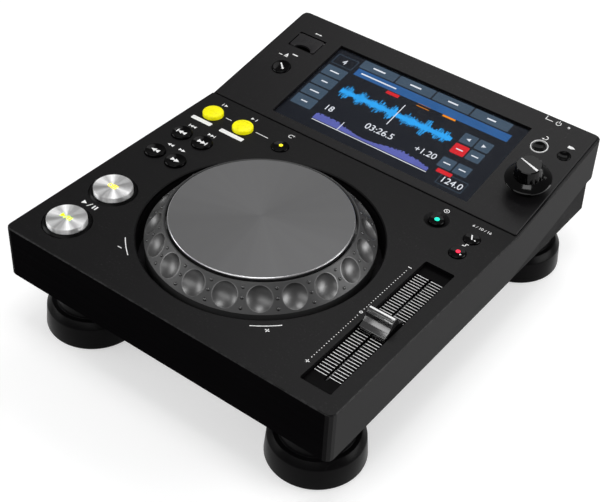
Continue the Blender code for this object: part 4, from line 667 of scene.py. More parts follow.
def screen_tone(name, colour):
    """A patch of the lit picture: one colour with the faint grid of its pixels."""
    material, tree, shader = start(name)
    where = place_in(tree)
    grid = {"Vector": where, "Scale": 900.0, "Distortion": 0.0}
    across = add(tree, "ShaderNodeTexWave", grid, bands_direction="X").outputs["Fac"]
    along = add(tree, "ShaderNodeTexWave", grid, bands_direction="Y").outputs["Fac"]
    pixels = spread(tree, sums(tree, "MULTIPLY", across, along), 0.0, 1.0, 0.88, 1.0)
    drift = spread(tree, noise(tree, where, 60.0), 0.3, 0.7, 0.92, 1.08)
    tone = shaded(tree, colour, sums(tree, "MULTIPLY", pixels, drift))
    fill(
        tree, shader, Base_Color=grey(0.003), Roughness=0.4, Specular_IOR_Level=0.0, Emission_Color=tone,
        Emission_Strength=1.0,
    )
    return material


case_satin = brushed_plastic("case_satin", black(0.003), 0.43, (5.0, 1100.0, 1100.0), 0.3, 0.38, 0.3)
panel_satin = brushed_plastic("panel_satin", black(0.005), 0.43, (1100.0, 7.0, 7.0), 0.16, 0.48, 0.0)
base_black = plastic("base_black", black(0.003), 0.55, grain=0.5, bump=0.3, specular=0.03)
well_black = plastic("well_black", black(0.008), 0.5, grain=0.4, specular=0.1)
plate_black = plastic("slider_plate_black", black(0.002), 0.45, grain=0.3, specular=0.03)
foot_rubber = plastic(
    "foot_rubber", black(0.0025), 0.35, grain=0.6, bump=0.25, specular=0.05, dust=0.03
)
flap_rubber = plastic("flap_rubber", black(0.011), 0.5, grain=0.4, specular=0.25)
gloss_black = gloss("gloss_black", black(0.001), specular=0.08)
ring_black = gloss("ring_black", black(0.001), 0.3, specular=0.08)
knob_black = gloss("knob_black", black(0.001), 0.1, specular=0.16)
cap_black = gloss("cap_black", black(0.002), 0.2, specular=0.1, coat=1.0, coat_ior=2.2)
pip_black = gloss("pip_black", black(0.003), 0.15, specular=1.0)
rim_lacquer = rim_finish()
jog_metal = turned_metal(
    "jog_disc_metal", grey(0.135, 0.002), 0.5, (0, JOG_Y),
    pitch=0.2, painted_sheen=0.03, bump=0.06, anisotropic=0.4, metallic=0.6,
)
edge_metal = turned_metal(
    "disc_edge_metal", grey(0.6, 0.01), 0.28, (0, JOG_Y), pitch=0.1, painted_sheen=0.05, bump=0.05, anisotropic=0.0
)
steel = plain_metal("machined_steel", grey(0.5, 0.01), 0.3)
socket_metal = plain_metal("socket_metal", grey(0.62, 0.01), 0.26, (12.0, 900.0, 900.0))
code_wheel_black = plastic("code_wheel_black", grey(0.01), 0.4)
carriage_plastic = plastic("carriage_plastic", grey(0.01), 0.45)
board_green = board_lacquer()
glass = cover_glass()
module_black = gloss("module_black", (0.004, 0.006, 0.012, 1), 0.3, specular=0.1)
yellow_lens = lit("yellow_lens", (0.88, 0.82, 0.004, 1), 0.1, uneven=0.06)
white_lens = lit("white_lens", grey(0.6), 0.1, uneven=0.05)
ink = plastic("white_ink", grey(0.82), 0.55, grain=0.6, drift=0.06)

CARRIED = (
    (panel_satin, ("head_panel",)),
    (base_black, ("bottom_case", "rear_panel", "usb_port", "power_inlet")),
    (plate_black, ("slider_plate",)),
    (glass, ("display_glass",)),
    (module_black, ("lcd_module",)),
    (board_green, ("main_board", "head_board", "control_board", "power_supply_board")),
    (steel, (
        "jog_shaft", "jog_bearing", "selector_shaft", "selector_encoder", "slider_track", "usb_flap_pin",
    )),
    (code_wheel_black, ("encoder_wheel",)),
    (carriage_plastic, ("slider_carriage",)),
    (socket_metal, ("link_socket", "usb_device_socket", "audio_socket_left", "audio_socket_right")),
    (white_lens, ("standby_lamp",)),
)
for material, names in CARRIED:
    for name in names:
        slots = nodes[name].data.materials
        slots.clear()
        slots.append(material)


# Case

def make_case():
    """The upper shell, with a true round opening and its outer edges broken."""
    shell = bmesh.new()
    shell.from_mesh(nodes["top_case"].data)
    bmesh.ops.remove_doubles(shell, verts=shell.verts, dist=0.000002)
    shell.transform(Matrix.Scale(1 / MM, 4))
    profile = [(0, 76), (68.4, 76), (68.4, 72.6), (WELL_RADIUS, 71.5), (WELL_RADIUS, 62), (0, 62)]
    shape = carve(shell, [lathe(profile, 240, 0, JOG_Y - HALF_DEPTH)])
    outer = []
    for edge in shape.edges:
        if len(edge.link_faces) != 2 or edge.calc_face_angle() < math.radians(40):
            continue
        ends = [vert.co for vert in edge.verts]
        on_side = all(
            abs(co.x) > HALF_WIDTH - 0.05 or abs(co.y) > HALF_DEPTH - 0.05 or co.y < -118 for co in ends
        )
        upper = any(face.normal.z > 0.8 for face in edge.link_faces)
        wall = any(abs(face.normal.z) < 0.3 for face in edge.link_faces)
        if on_side and upper and wall and min(co.z for co in ends) > DECK_TOP - 0.5:
            outer.append(edge)
    bmesh.ops.bevel(
        shape, geom=outer, offset=0.45, segments=3, profile=0.5, affect="EDGES", material=-1,
        clamp_overlap=True,
    )
    piece("case_shell", shape, "housing", case_satin, GROUND, ["top_case"], 0)


def make_well():
    """The cup that the jog wheel turns in."""
    profile = [
        (WELL_RADIUS, -2.7), (70.5, -2.7), (70.5, -4.7), (68.8, -4.7), (68.8, -20.7), (12.0, -20.7),
        (12.0, -18.7), (WELL_RADIUS, -18.7),
    ]
    shape = lathe(profile, 240, 0, JOG_Y)
    piece("well_cup", shape, "housing", well_black, stands_for=["jog_well"])


def make_usb_cover():
    """The rubber cover of the memory port, with a finger scoop at its front edge."""
    x, y = USB_COVER
    slab = rounded_bar(x, y, 18.6, 12.5, radius=1.5, low=-1.6, high=0.0)
    scoop = disc(6.2, -2.4, 0.6, 64)
    scoop.transform(Matrix.Translation((-86.0, 61.4, 0)) @ Matrix.Diagonal((1, 0.62, 1, 1)))
    slab = soften(carve(slab, [scoop]), 0.3, 3, 40)
    barrel = disc(1.05, -9.0, 9.0, 32)
    barrel.transform(Matrix.Translation((x, 73.6, -1.1)) @ Matrix.Rotation(math.radians(90), 4, "Y"))
    ribs = [block(x + 2.0 * step, 69.6, 0.5, 4.6, -0.1, 0.12) for step in (-2, -1, 0, 1, 2)]
    shape = together([slab, barrel] + [soften(rib, 0.05, 1) for rib in ribs])
    piece("usb_cover_rubber", shape, "usb_cover", flap_rubber, HEAD, ["usb_flap"], 30)


make_case()
make_well()
make_usb_cover()


# Jog wheel

def make_jog_disc():
    """The plate that is touched, with its sleeve and the bright edge turned on it."""
    profile = [
        (0, 12.4), (30, 12.4), (49.3, 12.4), (49.3, 10.0), (9, 10.0), (9, 6.4), (6.1, 6.4), (6.1, 10.0),
        (0, 10.0),
    ]
    shape = lathe(profile, 180, 0, JOG_Y)
    piece("jog_disc", shape, "jog_plate", jog_metal, stands_for=["jog_top_plate"])
    profile = [(49.3, 12.4), (49.8, 12.0), (49.8, 10.0), (49.3, 10.0)]
    shape = soften(lathe(profile, 240, 0, JOG_Y), 0.07, 2)
    piece("jog_disc_edge", shape, "jog_plate", edge_metal)


def on_slope(angle, share, lift):
    """A place on the rim's slope: a share of the way from crest to foot, lifted off the face."""
    along = (RIM_FOOT - RIM_CREST).normalized()
    outward = Vector((-along.y, along.x))
    spot = RIM_CREST.lerp(RIM_FOOT, share) + outward * lift
    turn = Matrix.Rotation(math.radians(angle + DIMPLE_TURN), 4, "Z")
    lean = Matrix.Rotation(math.atan2(outward.x, outward.y), 4, "Y")
    return turn @ Matrix.Translation((spot.x, 0, spot.y)) @ lean


def make_jog_rim():
    """The dimpled rim with its web and hub."""
    profile = [
        (51.0, 10.6), (51.6, 11.2), RIM_CREST, RIM_FOOT, (62.4, -9.0), (59.5, -9.0), (59.5, -3.4),
        (54.6, 2.6), (8.4, 2.6), (8.4, -2.2), (6.3, -2.2), (6.3, 5.6), (51.0, 5.6),
    ]
    ball = (DIMPLE_RADIUS ** 2 + DIMPLE_DEPTH ** 2) / (2 * DIMPLE_DEPTH)
    cutters = []
    for index in range(DIMPLE_COUNT):
        cutter = bmesh.new()
        bmesh.ops.create_uvsphere(cutter, u_segments=72, v_segments=48, radius=ball)
        cutter.transform(on_slope(index * DIMPLE_STEP, 0.5, ball - DIMPLE_DEPTH))
        cutters.append(cutter)
    shape = moved(carve(lathe(profile, 240), cutters), 0, JOG_Y)
    piece("jog_rim_moulding", shape, "jog", rim_lacquer, stands_for=["jog_rim"], smooth=24)


def make_rim_pips():
    """Three small pips between each pair of dimples."""
    pips = []
    for index in range(DIMPLE_COUNT):
        for share in (0.17, 0.5, 0.83):
            pip = bmesh.new()
            bmesh.ops.create_uvsphere(pip, u_segments=16, v_segments=10, radius=0.95)
            pip.transform(on_slope((index + 0.5) * DIMPLE_STEP, share, 0) @ Matrix.Diagonal((1, 1, 0.6, 1)))
            pips.append(pip)
    piece("rim_pips", moved(together(pips), 0, JOG_Y), "jog", pip_black)


make_jog_disc()
make_jog_rim()
make_rim_pips()


# Buttons

def make_metal_buttons():
    """Play and cue: turned caps with a flange and a stem, each in a black ring."""
    cap = [
        (0, 3.4), (10.7, 3.4), (11.0, 3.1), (11.0, -3.7), (12.0, -3.7), (12.0, -4.7), (3.2, -4.7),
        (3.2, -6.6), (0, -6.6),
    ]
    bezel = [
        (11.3, 0.4), (11.9, 1.0), (12.3, 1.0), (13.5, -0.2), (13.5, -2.7), (14.5, -2.7), (14.5, -3.7),
        (11.3, -3.7),
    ]
    for name in ("play", "cue"):
        x, y = PLACES[name + "_button"]
        metal = turned_metal(
            name + "_brushed", grey(0.86), 0.5, (x, y), pitch=0.1, painted_sheen=0.12, bump=0.14, anisotropic=0.95
        )
        shape = soften(lathe(cap, 128, x, y), 0.12)
        piece(name + "_cap", shape, name, metal, stands_for=[name + "_button"])
        shape = soften(lathe(bezel, 128, x, y), 0.15)
        piece(name + "_bezel", shape, "housing", ring_black, stands_for=[name + "_ring"])


def push_button(name, node, radius, rise, board=DECK, skin=2.4, dish=0.0, dome=0.0, flange=1.0):
    """A round push button with a dished or domed cap, a flange under the skin and a stem."""
    x, y = PLACES[node]
    body = node.replace("_button", "")
    lens = body in ("loop_in", "loop_out")
    under = -skin - 0.3
    profile = [(0, rise - dish + dome)]
    for step in range(1, 7):
        share = step / 7
        profile.append((radius * 0.92 * share, rise + (dome - dish) * (1 - share ** 2)))
    profile += [
        (radius * 0.92, rise), (radius, rise - radius * 0.09), (radius, under), (radius + flange, under),
        (radius + flange, under - 1), (1.6, under - 1), (1.6, under - 3.9), (0, under - 3.9),
    ]
    shape = soften(lathe(profile, 72, x, y), 0.1, 2, 40)
    material = yellow_lens if lens else gloss_black
    piece(name, shape, body, material, board, [node])


def make_push_buttons():
    """Every small button; the caps are dished for the finger and the two loop lenses are domed."""
    for node in ("search_back_button", "search_forward_button", "track_back_button", "track_forward_button"):
        push_button(node + "_cap", node, 6.2, 1.6, dish=0.7)
    push_button("loop_in_lens", "loop_in_button", 6.35, 2.3, dome=0.5)
    push_button("loop_out_lens", "loop_out_button", 6.35, 2.3, dome=0.5)
    push_button("reloop_cap", "reloop_button", 5.3, 1.0, dish=0.4)
    push_button("vinyl_cap", "vinyl_mode_button", 4.5, 0.4, dish=0.4)
    push_button("tempo_range_cap", "tempo_range_button", 4.8, 1.0, dish=0.4)
    push_button("master_tempo_cap", "master_tempo_button", 4.8, 1.0, dish=0.4)
    push_button("usb_stop_cap", "usb_stop_button", 5.9, 1.0, HEAD, 3.0, dish=0.4)
    push_button("back_cap", "back_button", 4.0, 0.4, HEAD, 4.3, dish=0.5)
    push_button("tag_track_cap", "tag_track_button", 3.85, 0.4, HEAD, 3.0, dish=0.7, flange=0.8)
    push_button("power_cap", "power_button", 4.8, 2.0, POWER, 4.0, dish=0.5)


def make_cap_symbols():
    """White arrows and marks printed in the dished caps."""
    low, high = 0.82, 1.12
    for name, way in (("search_back", -1), ("search_forward", 1), ("track_back", -1), ("track_forward", 1)):
        x, y = PLACES[name + "_button"]
        turn = 0 if way > 0 else 180
        shapes = [triangle(x + way * shift, y, 3.0, low, high, turn) for shift in (-1.5, 1.2)]
        if name.startswith("track"):
            shapes.append(block(x + way * 3.1, y, 0.7, 3.0, low, high + 0.08))
        piece(name + "_arrows", together(shapes), name, ink, smooth=0)
    low, high = 0.6, 0.85
    for name in ("tempo_range", "master_tempo"):
        x, y = PLACES[name + "_button"]
        shapes = [disc(0.5, low, high, 20, x + 2.3, y - 0.9)]
        if name == "tempo_range":
            shapes.append(block(x - 0.4, y + 0.6, 0.75, 4.0, low, high, 28))
        piece(name + "_mark", together(shapes), name, ink, smooth=0)
    x, y = PLACES["usb_stop_button"]
    shapes = [
        block(x - 0.1, y + 0.8, 0.8, 5.0, low, high, 48), disc(0.7, low, high + 0.03, 20, x + 2.1, y - 1.2),
    ]
    piece("usb_stop_mark", together(shapes), "usb_stop", ink, HEAD, smooth=0)


def make_back_ring():
    """The pale ring round the back button."""
    profile = [
        (4.75, 0.3), (5.15, 0.3), (5.25, 0.2), (5.25, -3.3), (6.35, -3.3), (6.35, -4.3), (4.75, -4.3),
    ]
    shape = lathe(profile, 72, *PLACES["back_button"])
    piece("back_ring_white", shape, "housing", white_lens, HEAD, ["back_ring"])


def make_button_lamps():
    """Small lamps in three caps, and the lit symbols of play and cue."""
    amber = lit("amber_lamp", (1.0, 0.85, 0.02, 1), 0.7)
    teal = lit("teal_lamp", (0.01, 0.66, 0.44, 1), 0.8)
    red = lit("red_lamp", (0.9, 0.02, 0.06, 1), 0.9)
    lime = lit("lime_lamp", (0.62, 0.95, 0.0, 1), 1.0)
    gold = lit("gold_lamp", (0.95, 0.8, 0.02, 1), 1.0)
    for body, name, ahead, radius, low, high, colour, slot in (
        ("reloop", "reloop_lamp", 0.8, 1.15, 0.62, 0.85, amber, "lit_yellow"),
        ("vinyl_mode", "vinyl_lamp", 0.5, 1.5, 0.0, 0.25, teal, "lit_white"),
        ("master_tempo", "master_tempo_lamp", 0.7, 1.3, 0.62, 0.85, red, "lit_white"),
    ):
        x, y = PLACES[body + "_button"]
        piece(name, disc(radius, low, high, 32, x, y + ahead), body, colour)
    low, high = 3.36, 3.44
    x, y = PLACES["play_button"]
    play = [
        triangle(x - 2.4, y, 3.0, low, high), block(x + 1.3, y, 0.8, 3.0, low, high),
        block(x + 2.8, y, 0.8, 3.0, low, high), block(x - 0.3, y, 0.5, 3.6, low, high, -25),
    ]
    piece("play_symbol", together(play), "play", lime, smooth=0)
    x, y = PLACES["cue_button"]
    cue = [washer(1.0, 1.5, low, high, 32, x - 1.8, y)]
    cue += [block(x + 1.2, y + shift, 3.4, 0.7, low, high) for shift in (0, 1.3, -1.3)]
    piece("cue_symbol", together(cue), "cue", gold, smooth=0)


make_metal_buttons()
make_push_buttons()
make_cap_symbols()
make_back_ring()
make_button_lamps()


# Knob, slider and feet

def make_knob():
    """The fluted knob with its skirt and a white pointer."""
    x, y = KNOB
    profile = [
        (0, 18.86), (6.9, 18.86), (7.4, 18.4), (8.5, 11.0), (9.9, 10.4), (12.7, 9.2), (13.3, 8.6),
        (13.3, 8.0), (12.7, 7.4), (8.2, 5.6), (8.2, 1.2), (3.1, 1.2), (3.1, 13.6), (0, 13.6),
    ]
    flutes = []
    for index in range(18):
        angle = math.radians(20 * index + 10)
        flutes.append(disc(1.0, 11.6, 17.9, 24, 8.75 * math.cos(angle), 8.75 * math.sin(angle)))
    shape = moved(carve(lathe(profile, 144), flutes), x, y)
    piece("knob_moulding", shape, "selector_turn", knob_black, HEAD, ["selector_knob"], 30)
    pointer = prism([(-0.25, -6.4), (0.25, -6.4), (0.75, 6.6), (-0.75, 6.6)], 18.8, 18.895)
    pointer.transform(Matrix.Translation((x, y, 0)) @ Matrix.Rotation(math.radians(253), 4, "Z"))
    piece("knob_pointer", pointer, "selector_turn", ink, HEAD, smooth=0)


def make_slider_cap():
    """The cap of the tempo slider: one profile seen from the side, with a white line on its ridge."""
    x, y = SLIDER
    side = [
        (-8.2, -2.4), (8.2, -2.4), (8.2, 0.0), (5.2, 1.4), (3.3, 3.5), (2.6, 5.8), (1.9, 6.8), (0.9, 7.5),
        (-0.8, 7.5), (-1.7, 6.9), (-2.0, 6.2), (-2.6, 6.1), (-2.8, 5.5), (-3.2, 3.7), (-5.2, 1.5),
        (-8.2, 0.0),
    ]
    shape = prism(side, -7.8, 7.8)
    shape.transform(Matrix(((0, 0, 1, 0), (1, 0, 0, 0), (0, 1, 0, 0), (0, 0, 0, 1))))
    shape = moved(soften(shape, 0.25, 3, 12), x, y)
    piece(
        "slider_cap_moulding", shape, "tempo_slider", cap_black, stands_for=["slider_cap"],
        smooth=40,
    )
    line = block(x, y + 0.05, 15.1, 1.15, 7.44, 7.53)
    piece("slider_cap_index", soften(line, 0.03, 1), "tempo_slider", ink)


def make_feet():
    """Four round feet, each a neck on a wider rubber base."""
    profile = [
        (0, 33.7), (20.5, 33.7), (20.5, 17.8), (23.1, 17.8), (26.1, 14.1), (27.2, 1.2), (26.0, 0), (8.0, 0),
        (8.0, 5.6), (0, 5.6),
    ]
    for row, y in (("front", 32.2), ("rear", 236.2)):
        for side, x in (("left", -78.7), ("right", 78.7)):
            node = f"foot_{row}_{side}"
            shape = soften(lathe(profile, 96, x, y - HALF_DEPTH), 0.5, 3)
            piece(node + "_rubber", shape, "housing", foot_rubber, GROUND, [node])


make_knob()
make_slider_cap()
make_feet()


# Screen picture, bonded to the back of the glass

def patch(x, y, width, length):
    """A coloured field on the picture's ground."""
    return block(x, y, width, length, GROUND_FACE, PATCH_FACE)


def key(x, y, width=9.4, length=8.6, radius=0.8):
    """A touch key with round corners."""
    return rounded_bar(x, y, width, length, radius, GROUND_FACE, PATCH_FACE)


def mark(x, y, width, length):
    """A mark on a coloured field."""
    return block(x, y, width, length, PATCH_FACE, MARK_FACE)


def on_screen(name, shapes, material):
    piece(name, together(shapes), "housing", material, HEAD, smooth=0)


def wave_bars():
    """The bars of the running wave."""
    bars = []
    count = 150
    for index in range(count):
        phase = index / count
        swell = 0.5 + 0.5 * math.sin(phase * 43.0)
        jitter = 0.5 + 0.5 * math.sin(index * 12.9898 + math.sin(index * 7.233) * 4.1)
        bars.append(patch(-44.5 + 80 * phase, 46.6, 0.5, 3.0 + 9.0 * swell * jitter + 3.5 * jitter ** 6))
    return bars


def overview_bars():
    """The bars of the whole track's overview, on their line."""
    bars = []
    count = 110
    for index in range(count):
        phase = index / count
        jitter = 0.5 + 0.5 * math.sin(index * 4.7 + math.sin(index * 1.7) * 3.3)
        envelope = 0.55 + 0.45 * math.sin(phase * 9.4 + 0.6)
        height = 1.4 + 4.8 * envelope * (0.7 + 0.3 * jitter)
        bars.append(patch(-44.5 + 82 * phase, 17.2 + height / 2, 0.68, height))
    return bars


def make_picture():
    """A made-up player screen: keys, tabs, a wave, an overview and plain numerals."""
    dark = screen_tone("picture_ground", (0.012, 0.014, 0.02, 1))
    slate = screen_tone("picture_slate", (0.06, 0.095, 0.14, 1))
    navy = screen_tone("picture_navy", (0.03, 0.12, 0.33, 1))
    sky = screen_tone("picture_wave", (0.03, 0.42, 1.0, 1))
    violet = screen_tone("picture_overview", (0.13, 0.15, 0.5, 1))
    white = screen_tone("picture_white", (0.9, 0.93, 1.0, 1))
    red = screen_tone("picture_red", (0.75, 0.02, 0.03, 1))
    orange = screen_tone("picture_orange", (1.0, 0.3, 0.01, 1))
    side_x = PICTURE_LEFT + 8.2
    tab_y = PICTURE_REAR - 4.4
    title_y = PICTURE_REAR - 12.4
    rows = [57.5 - 10.4 * row for row in range(4)]
    tabs = [PICTURE_LEFT + 31 + 27 * tab for tab in range(4)]
    on_screen("picture_back", [block(1.85, 42.5, 136.9, 69.8, PICTURE_FOOT, GROUND_FACE)], dark)

    keys = [key(side_x, y, 15.2, 9.2) for y in rows]
    keys += [key(x, tab_y, 26, 7.6, 0.6) for x in tabs]
    keys += [key(x, y) for x, y in ((54.2, 52.0), (43.8, 52.0), (54.2, 42.0), (54.2, 28.6), (43.8, 28.6))]
    on_screen("picture_buttons", keys, slate)
    on_screen("picture_title_bar", [patch(PICTURE_LEFT + 74, title_y, 110, 6.4)], navy)
    red_fields = [key(43.8, 42.0), key(46.5, 21.6, 10.0, 3.0, 0.4), patch(-16.0, 60.4, 9.0, 2.6)]
    on_screen("picture_red_key", red_fields, red)
    on_screen("picture_wave_bars", wave_bars(), sky)
    on_screen("picture_overview_bars", overview_bars(), violet)

    marks = [
        mark(-4.0, 46.6, 0.55, 20.0), patch(-3.5, 16.4, 82.0, 0.5), mark(-26.0, 20.2, 0.5, 8.0),
        triangle(54.4, 52.0, 2.6, PATCH_FACE, MARK_FACE),
        triangle(43.6, 52.0, 2.6, PATCH_FACE, MARK_FACE, 180),
        mark(PICTURE_LEFT + 36, title_y, 26.0, 1.0),
    ]
    marks += [mark(x, tab_y, 9 - tab, 1.1) for tab, x in enumerate(tabs)]
    marks += [mark(side_x, y, 6.5 - row % 2 * 2, 0.9) for row, y in enumerate(rows)]
    marks += [mark(x, y, 4.6, 0.8) for x, y in ((54.2, 42.0), (43.8, 42.0), (54.2, 28.6), (43.8, 28.6))]
    for text, x, y, height in (
        ("4", side_x, 68.6, 4.2), ("18", -41.0, 29.5, 4.6), ("03:26.5", -4.0, 29.5, 4.8),
        ("+1.20", 28.5, 29.5, 4.6), ("124.0", 54.5, 17.0, 4.6),
    ):
        marks.append(digits(text, x, y, height, GROUND_FACE, 0.04))
    on_screen("picture_marks", marks, white)

    boxes = []
    for x, y, reach, width in ((side_x, 68.8, 7.45, 15.2), (54.5, 17.0, 8.4, 17.0)):
        boxes += [patch(x, y + shift, width, 0.3) for shift in (4.4, -4.4)]
        boxes += [patch(x + shift, y, 0.3, 9.0) for shift in (-reach, reach)]
    on_screen("picture_boxes", boxes, slate)
    labels = [
        patch(-22.0, 64.2, 7.0, 1.8), patch(6.0, 62.4, 9.0, 0.4), patch(6.0, 60.2, 9.0, 0.4),
        patch(24.0, 61.4, 9.0, 1.4),
    ]
    on_screen("picture_orange_tags", labels, orange)


make_picture()


# Printed marks

def bar(x, y, width, length, turn=0):
    """A printed bar."""
    return block(x, y, width, length, INK_LOW, INK_HIGH, turn)


def arrow(x, y, size, turn=0):
    """A printed triangle."""
    return triangle(x, y, size, INK_LOW, INK_HIGH, turn)


def dot(x, y, radius, steps=20):
    """A printed dot."""
    return disc(radius, INK_LOW, INK_HIGH, steps, x, y)


def bow(x, y, radius, start, sweep, width):
    """A printed arc."""
    return arc_bar(x, y, radius, start, sweep, width, INK_LOW, INK_HIGH)


def make_deck_marks():
    """Bows at the jog wheel, fields at the loop buttons, and the slider's dotted scale."""
    scale_x, scale_middle = 76.7, 67.1
    marks = [
        bow(0, JOG_Y, 72.0, 222.7, 11.6, 0.5), bar(-49.7, 26.4, 2.6, 0.5),
        bow(0, JOG_Y, 71.4, -56.0, 13.0, 0.5), bar(48.8, 26.6, 2.6, 0.5), bar(48.8, 26.6, 0.5, 2.6),
        rounded_bar(-93.0, 142.2, 14.8, 3.2, 0.7, INK_LOW, INK_HIGH),
        rounded_bar(-70.2, 142.3, 17.2, 3.2, 0.7, INK_LOW, INK_HIGH),
        bar(-81.6, 153.6, 4.6, 0.5), bar(-56.4, 153.7, 9.3, 0.5),
        bar(scale_x, 22.6, 2.2, 0.5), bar(scale_x, 22.6, 0.5, 2.2), bar(scale_x, 111.3, 2.2, 0.5),
        washer(0.45, 0.95, INK_LOW, INK_HIGH, 32, scale_x, scale_middle),
    ]
    for index in range(42):
        y = 26.0 + 2.0 * index
        if abs(y - scale_middle) > 1.6:
            marks.append(dot(scale_x, y, 0.3, 10))
    piece("deck_marks", together(marks), "housing", ink, smooth=0)


def make_deck_signs():
    """Common player symbols beside the buttons."""
    signs = [arrow(-90.0, 41.8, 3.0), bar(-86.4, 41.8, 0.5, 3.8, -25)]
    signs += [bar(-83.4, 41.8, 0.9, 3.0), bar(-81.6, 41.8, 0.9, 3.0)]
    signs += [arrow(-89.4, 112.0, 2.2, 180), arrow(-91.6, 112.0, 2.2, 180)]
    signs += [arrow(-82.8, 112.0, 2.2), arrow(-80.6, 112.0, 2.2)]
    signs += [arrow(-91.6, 134.2, 2.2, 180), arrow(-93.8, 134.2, 2.2, 180), bar(-95.3, 134.2, 0.5, 2.2)]
    signs += [arrow(-79.8, 134.2, 2.2), arrow(-77.6, 134.2, 2.2), bar(-76.1, 134.2, 0.5, 2.2)]
    signs += [bar(-94.0, 163.4, 0.5, 2.4), arrow(-91.4, 163.4, 2.2)]
    signs += [bar(-68.2, 163.4, 0.5, 2.4), arrow(-70.8, 163.4, 2.2)]
    signs += [bow(-42.6, 164.0, 1.4, 40, 280, 0.45), arrow(-41.3, 165.0, 1.3, -60)]
    signs += [washer(1.3, 1.7, INK_LOW, INK_HIGH, 40, 66.0, 164.2), dot(66.0, 164.2, 0.5)]
    signs += [digits("6 / 10 / 16", 89.6, 163.2, 2.0, INK_LOW, INK_HIGH - INK_LOW)]
    signs += [bar(89.6, 145.8, 0.5, 2.2), bar(88.6, 144.9, 1.0, 0.9), bar(90.3, 146.9, 1.4, 0.5)]
    piece("deck_signs", together(signs), "housing", ink, smooth=0)


def make_scale_lines():
    """The slider's lines, printed on the plate in its recess."""
    low, high = -2.72, -2.66
    lines = []
    for index in range(43):
        y = 22.8 + 2.12 * index
        lines.append(block(84.65, y, 7.3, 0.36, low, high))
        lines.append(block(93.35, y, 6.9, 0.36, low, high))
    piece("slider_lines", together(lines), "housing", ink, smooth=0)


def make_head_marks():
    """Standby, back, tag and USB signs on the head panel."""
    marks = [
        bar(73.3, 90.8, 0.5, 3.2), bar(75.6, 89.4, 4.8, 0.5), bow(81.8, 89.6, 1.5, 125, 290, 0.4),
        bar(81.8, 91.0, 0.4, 1.8), bow(81.6, 75.2, 1.4, -90, 200, 0.45), arrow(80.4, 74.0, 1.4, 180),
        bar(97.2, 76.0, 2.6, 2.0), arrow(99.3, 76.0, 2.0),
        arrow(-90.6, 52.6, 2.4, 90), bar(-90.6, 50.7, 2.6, 0.5), bar(-86.1, 54.7, 4.0, 0.8),
        bar(-94.5, 50.8, 2.6, 0.5), bar(-85.5, 78.6, 3.0, 0.5), dot(-87.3, 78.6, 0.6),
        arrow(-83.6, 78.6, 1.3),
    ]
    piece("head_marks", together(marks), "housing", ink, HEAD, smooth=0)


make_deck_marks()
make_deck_signs()
make_scale_lines()
make_head_marks()


# Rear contacts and underside screws

def make_rear_details():
    """Pins in the power inlet, contacts in the network socket and the tongue of the USB socket."""
    brass = plain_metal("contact_brass", (0.65, 0.45, 0.16, 1), 0.25)
    pins = []
    for side in (-4.3, 4.3):
        pin = lathe([(0, 5), (0.8, 5), (1.2, 4.4), (1.2, 0), (0, 0)], 24)
        pin.transform(Matrix.Translation((76 + side, 112.3, 50)) @ Matrix.Rotation(math.radians(-90), 4, "X"))
        pins.append(pin)
    for step in range(8):
        pins.append(block(-14 + (step - 3.5) * 1.1, 115.5, 0.45, 6.5, 46.1, 46.4))
    piece("socket_contacts", together(pins), "housing", brass, GROUND)
    tongue = soften(block(10, 115.4, 5.4, 7.2, 48.9, 51.1), 0.3)
    tongue_white = plastic("tongue_white", grey(0.7), 0.4)
    piece("usb_tongue", tongue, "housing", tongue_white, GROUND)


def make_screws():
    """Cross-head screws in the underside."""
    corner = [(1.3, -0.35), (1.3, 0.35), (0.35, 0.35)]
    quarters = ((1, 0), (0, 1), (-1, 0), (0, -1))
    cross = [(x * c - y * s, x * s + y * c) for c, s in quarters for x, y in corner]
    screws = []
    for x, y in (
        (-88, -60), (88, -60), (-60, -118), (60, -118), (0, -118), (-88, 60), (88, 60), (0, 96), (0, 20),
    ):
        head = lathe([(0, 0), (2.4, 0), (2.9, 0.5), (2.9, 1.4), (0, 1.4)], 32)
        screws.append(moved(carve(head, [prism(cross, -0.5, 0.8)]), x, y, 33.2))
    piece("base_screws", together(screws), "housing", steel, GROUND, smooth=40)


make_rear_details()
make_screws()


# Stage, lamps and camera

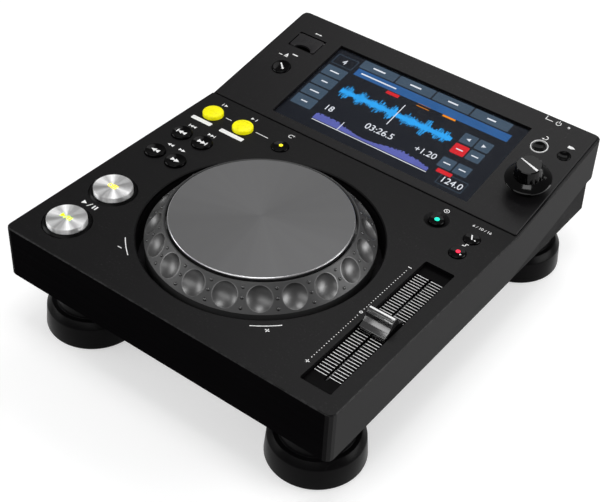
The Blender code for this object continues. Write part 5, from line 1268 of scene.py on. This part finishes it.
def make_stage():
    """A pale floor, which rays from the camera, mirrors and glass meet as white, and a dim even sky."""
    shape = bmesh.new()
    bmesh.ops.create_circle(shape, cap_ends=True, radius=6, segments=96)
    mesh = to_mesh("floor", shape)
    floor = linked("floor", mesh)
    material, tree, shader = start("pale_floor")
    paths = add(tree, "ShaderNodeLightPath").outputs
    seen = sums(tree, "MAXIMUM", paths["Is Camera Ray"], paths["Is Glossy Ray"])
    seen = sums(tree, "MAXIMUM", seen, paths["Is Transmission Ray"])
    fill(
        tree, shader, Base_Color=grey(0.62), Roughness=0.9, Specular_IOR_Level=0.0, Emission_Color=grey(1.0),
        Emission_Strength=sums(tree, "MULTIPLY", seen, 0.46),
    )
    mesh.materials.append(material)

    world = bpy.data.worlds.new("studio")
    world.use_nodes = True
    sky = world.node_tree.nodes["Background"]
    sky.inputs["Color"].default_value = grey(1.0)
    sky.inputs["Strength"].default_value = 0.25
    bpy.context.scene.world = world


MIDDLE = Vector((0, 0, 0.06))


def softbox(name, place, width, length, power):
    """A rectangular lamp turned to the middle of the player."""
    lamp = bpy.data.lights.new(name, "AREA")
    lamp.shape = "RECTANGLE"
    lamp.size = width
    lamp.size_y = length
    lamp.energy = power
    holder = linked(name, lamp)
    holder.location = place
    holder.rotation_euler = (MIDDLE - Vector(place)).to_track_quat("-Z", "Y").to_euler()


def make_camera():
    """The camera that was fitted to the photo's straight edges and ellipses."""
    data = bpy.data.cameras.new("camera")
    data.sensor_width = 36
    data.lens = 76.682
    data.shift_x = -0.03284
    data.shift_y = -0.00915
    data.clip_start = 0.01
    data.clip_end = 30
    camera = linked("camera", data)
    axis = Vector((2.1602462, 0.7433133, -0.2759310))
    seen = Matrix.Rotation(axis.length, 3, axis.normalized())
    turn = Matrix((seen[0], -seen[1], -seen[2])).transposed()
    camera.matrix_world = Matrix.Translation((0.32815, -0.47345, 0.51652)) @ turn.to_4x4()
    bpy.context.scene.camera = camera


make_stage()
softbox("overhead", (0.06, -0.14, 1.30), 0.45, 0.45, 5.0)
softbox("front", (0.10, -0.90, 0.85), 1.40, 0.40, 4.5)
softbox("rear_top", (-0.13, 0.78, 1.10), 1.10, 0.45, 3.8)
softbox("right_strip", (0.62, 0.29, 0.30), 0.45, 0.30, 2.8)
softbox("left_strip", (-0.78, -0.50, 0.36), 0.60, 0.30, 2.6)
make_camera()
bpy.context.scene.view_settings.view_transform = "Standard"
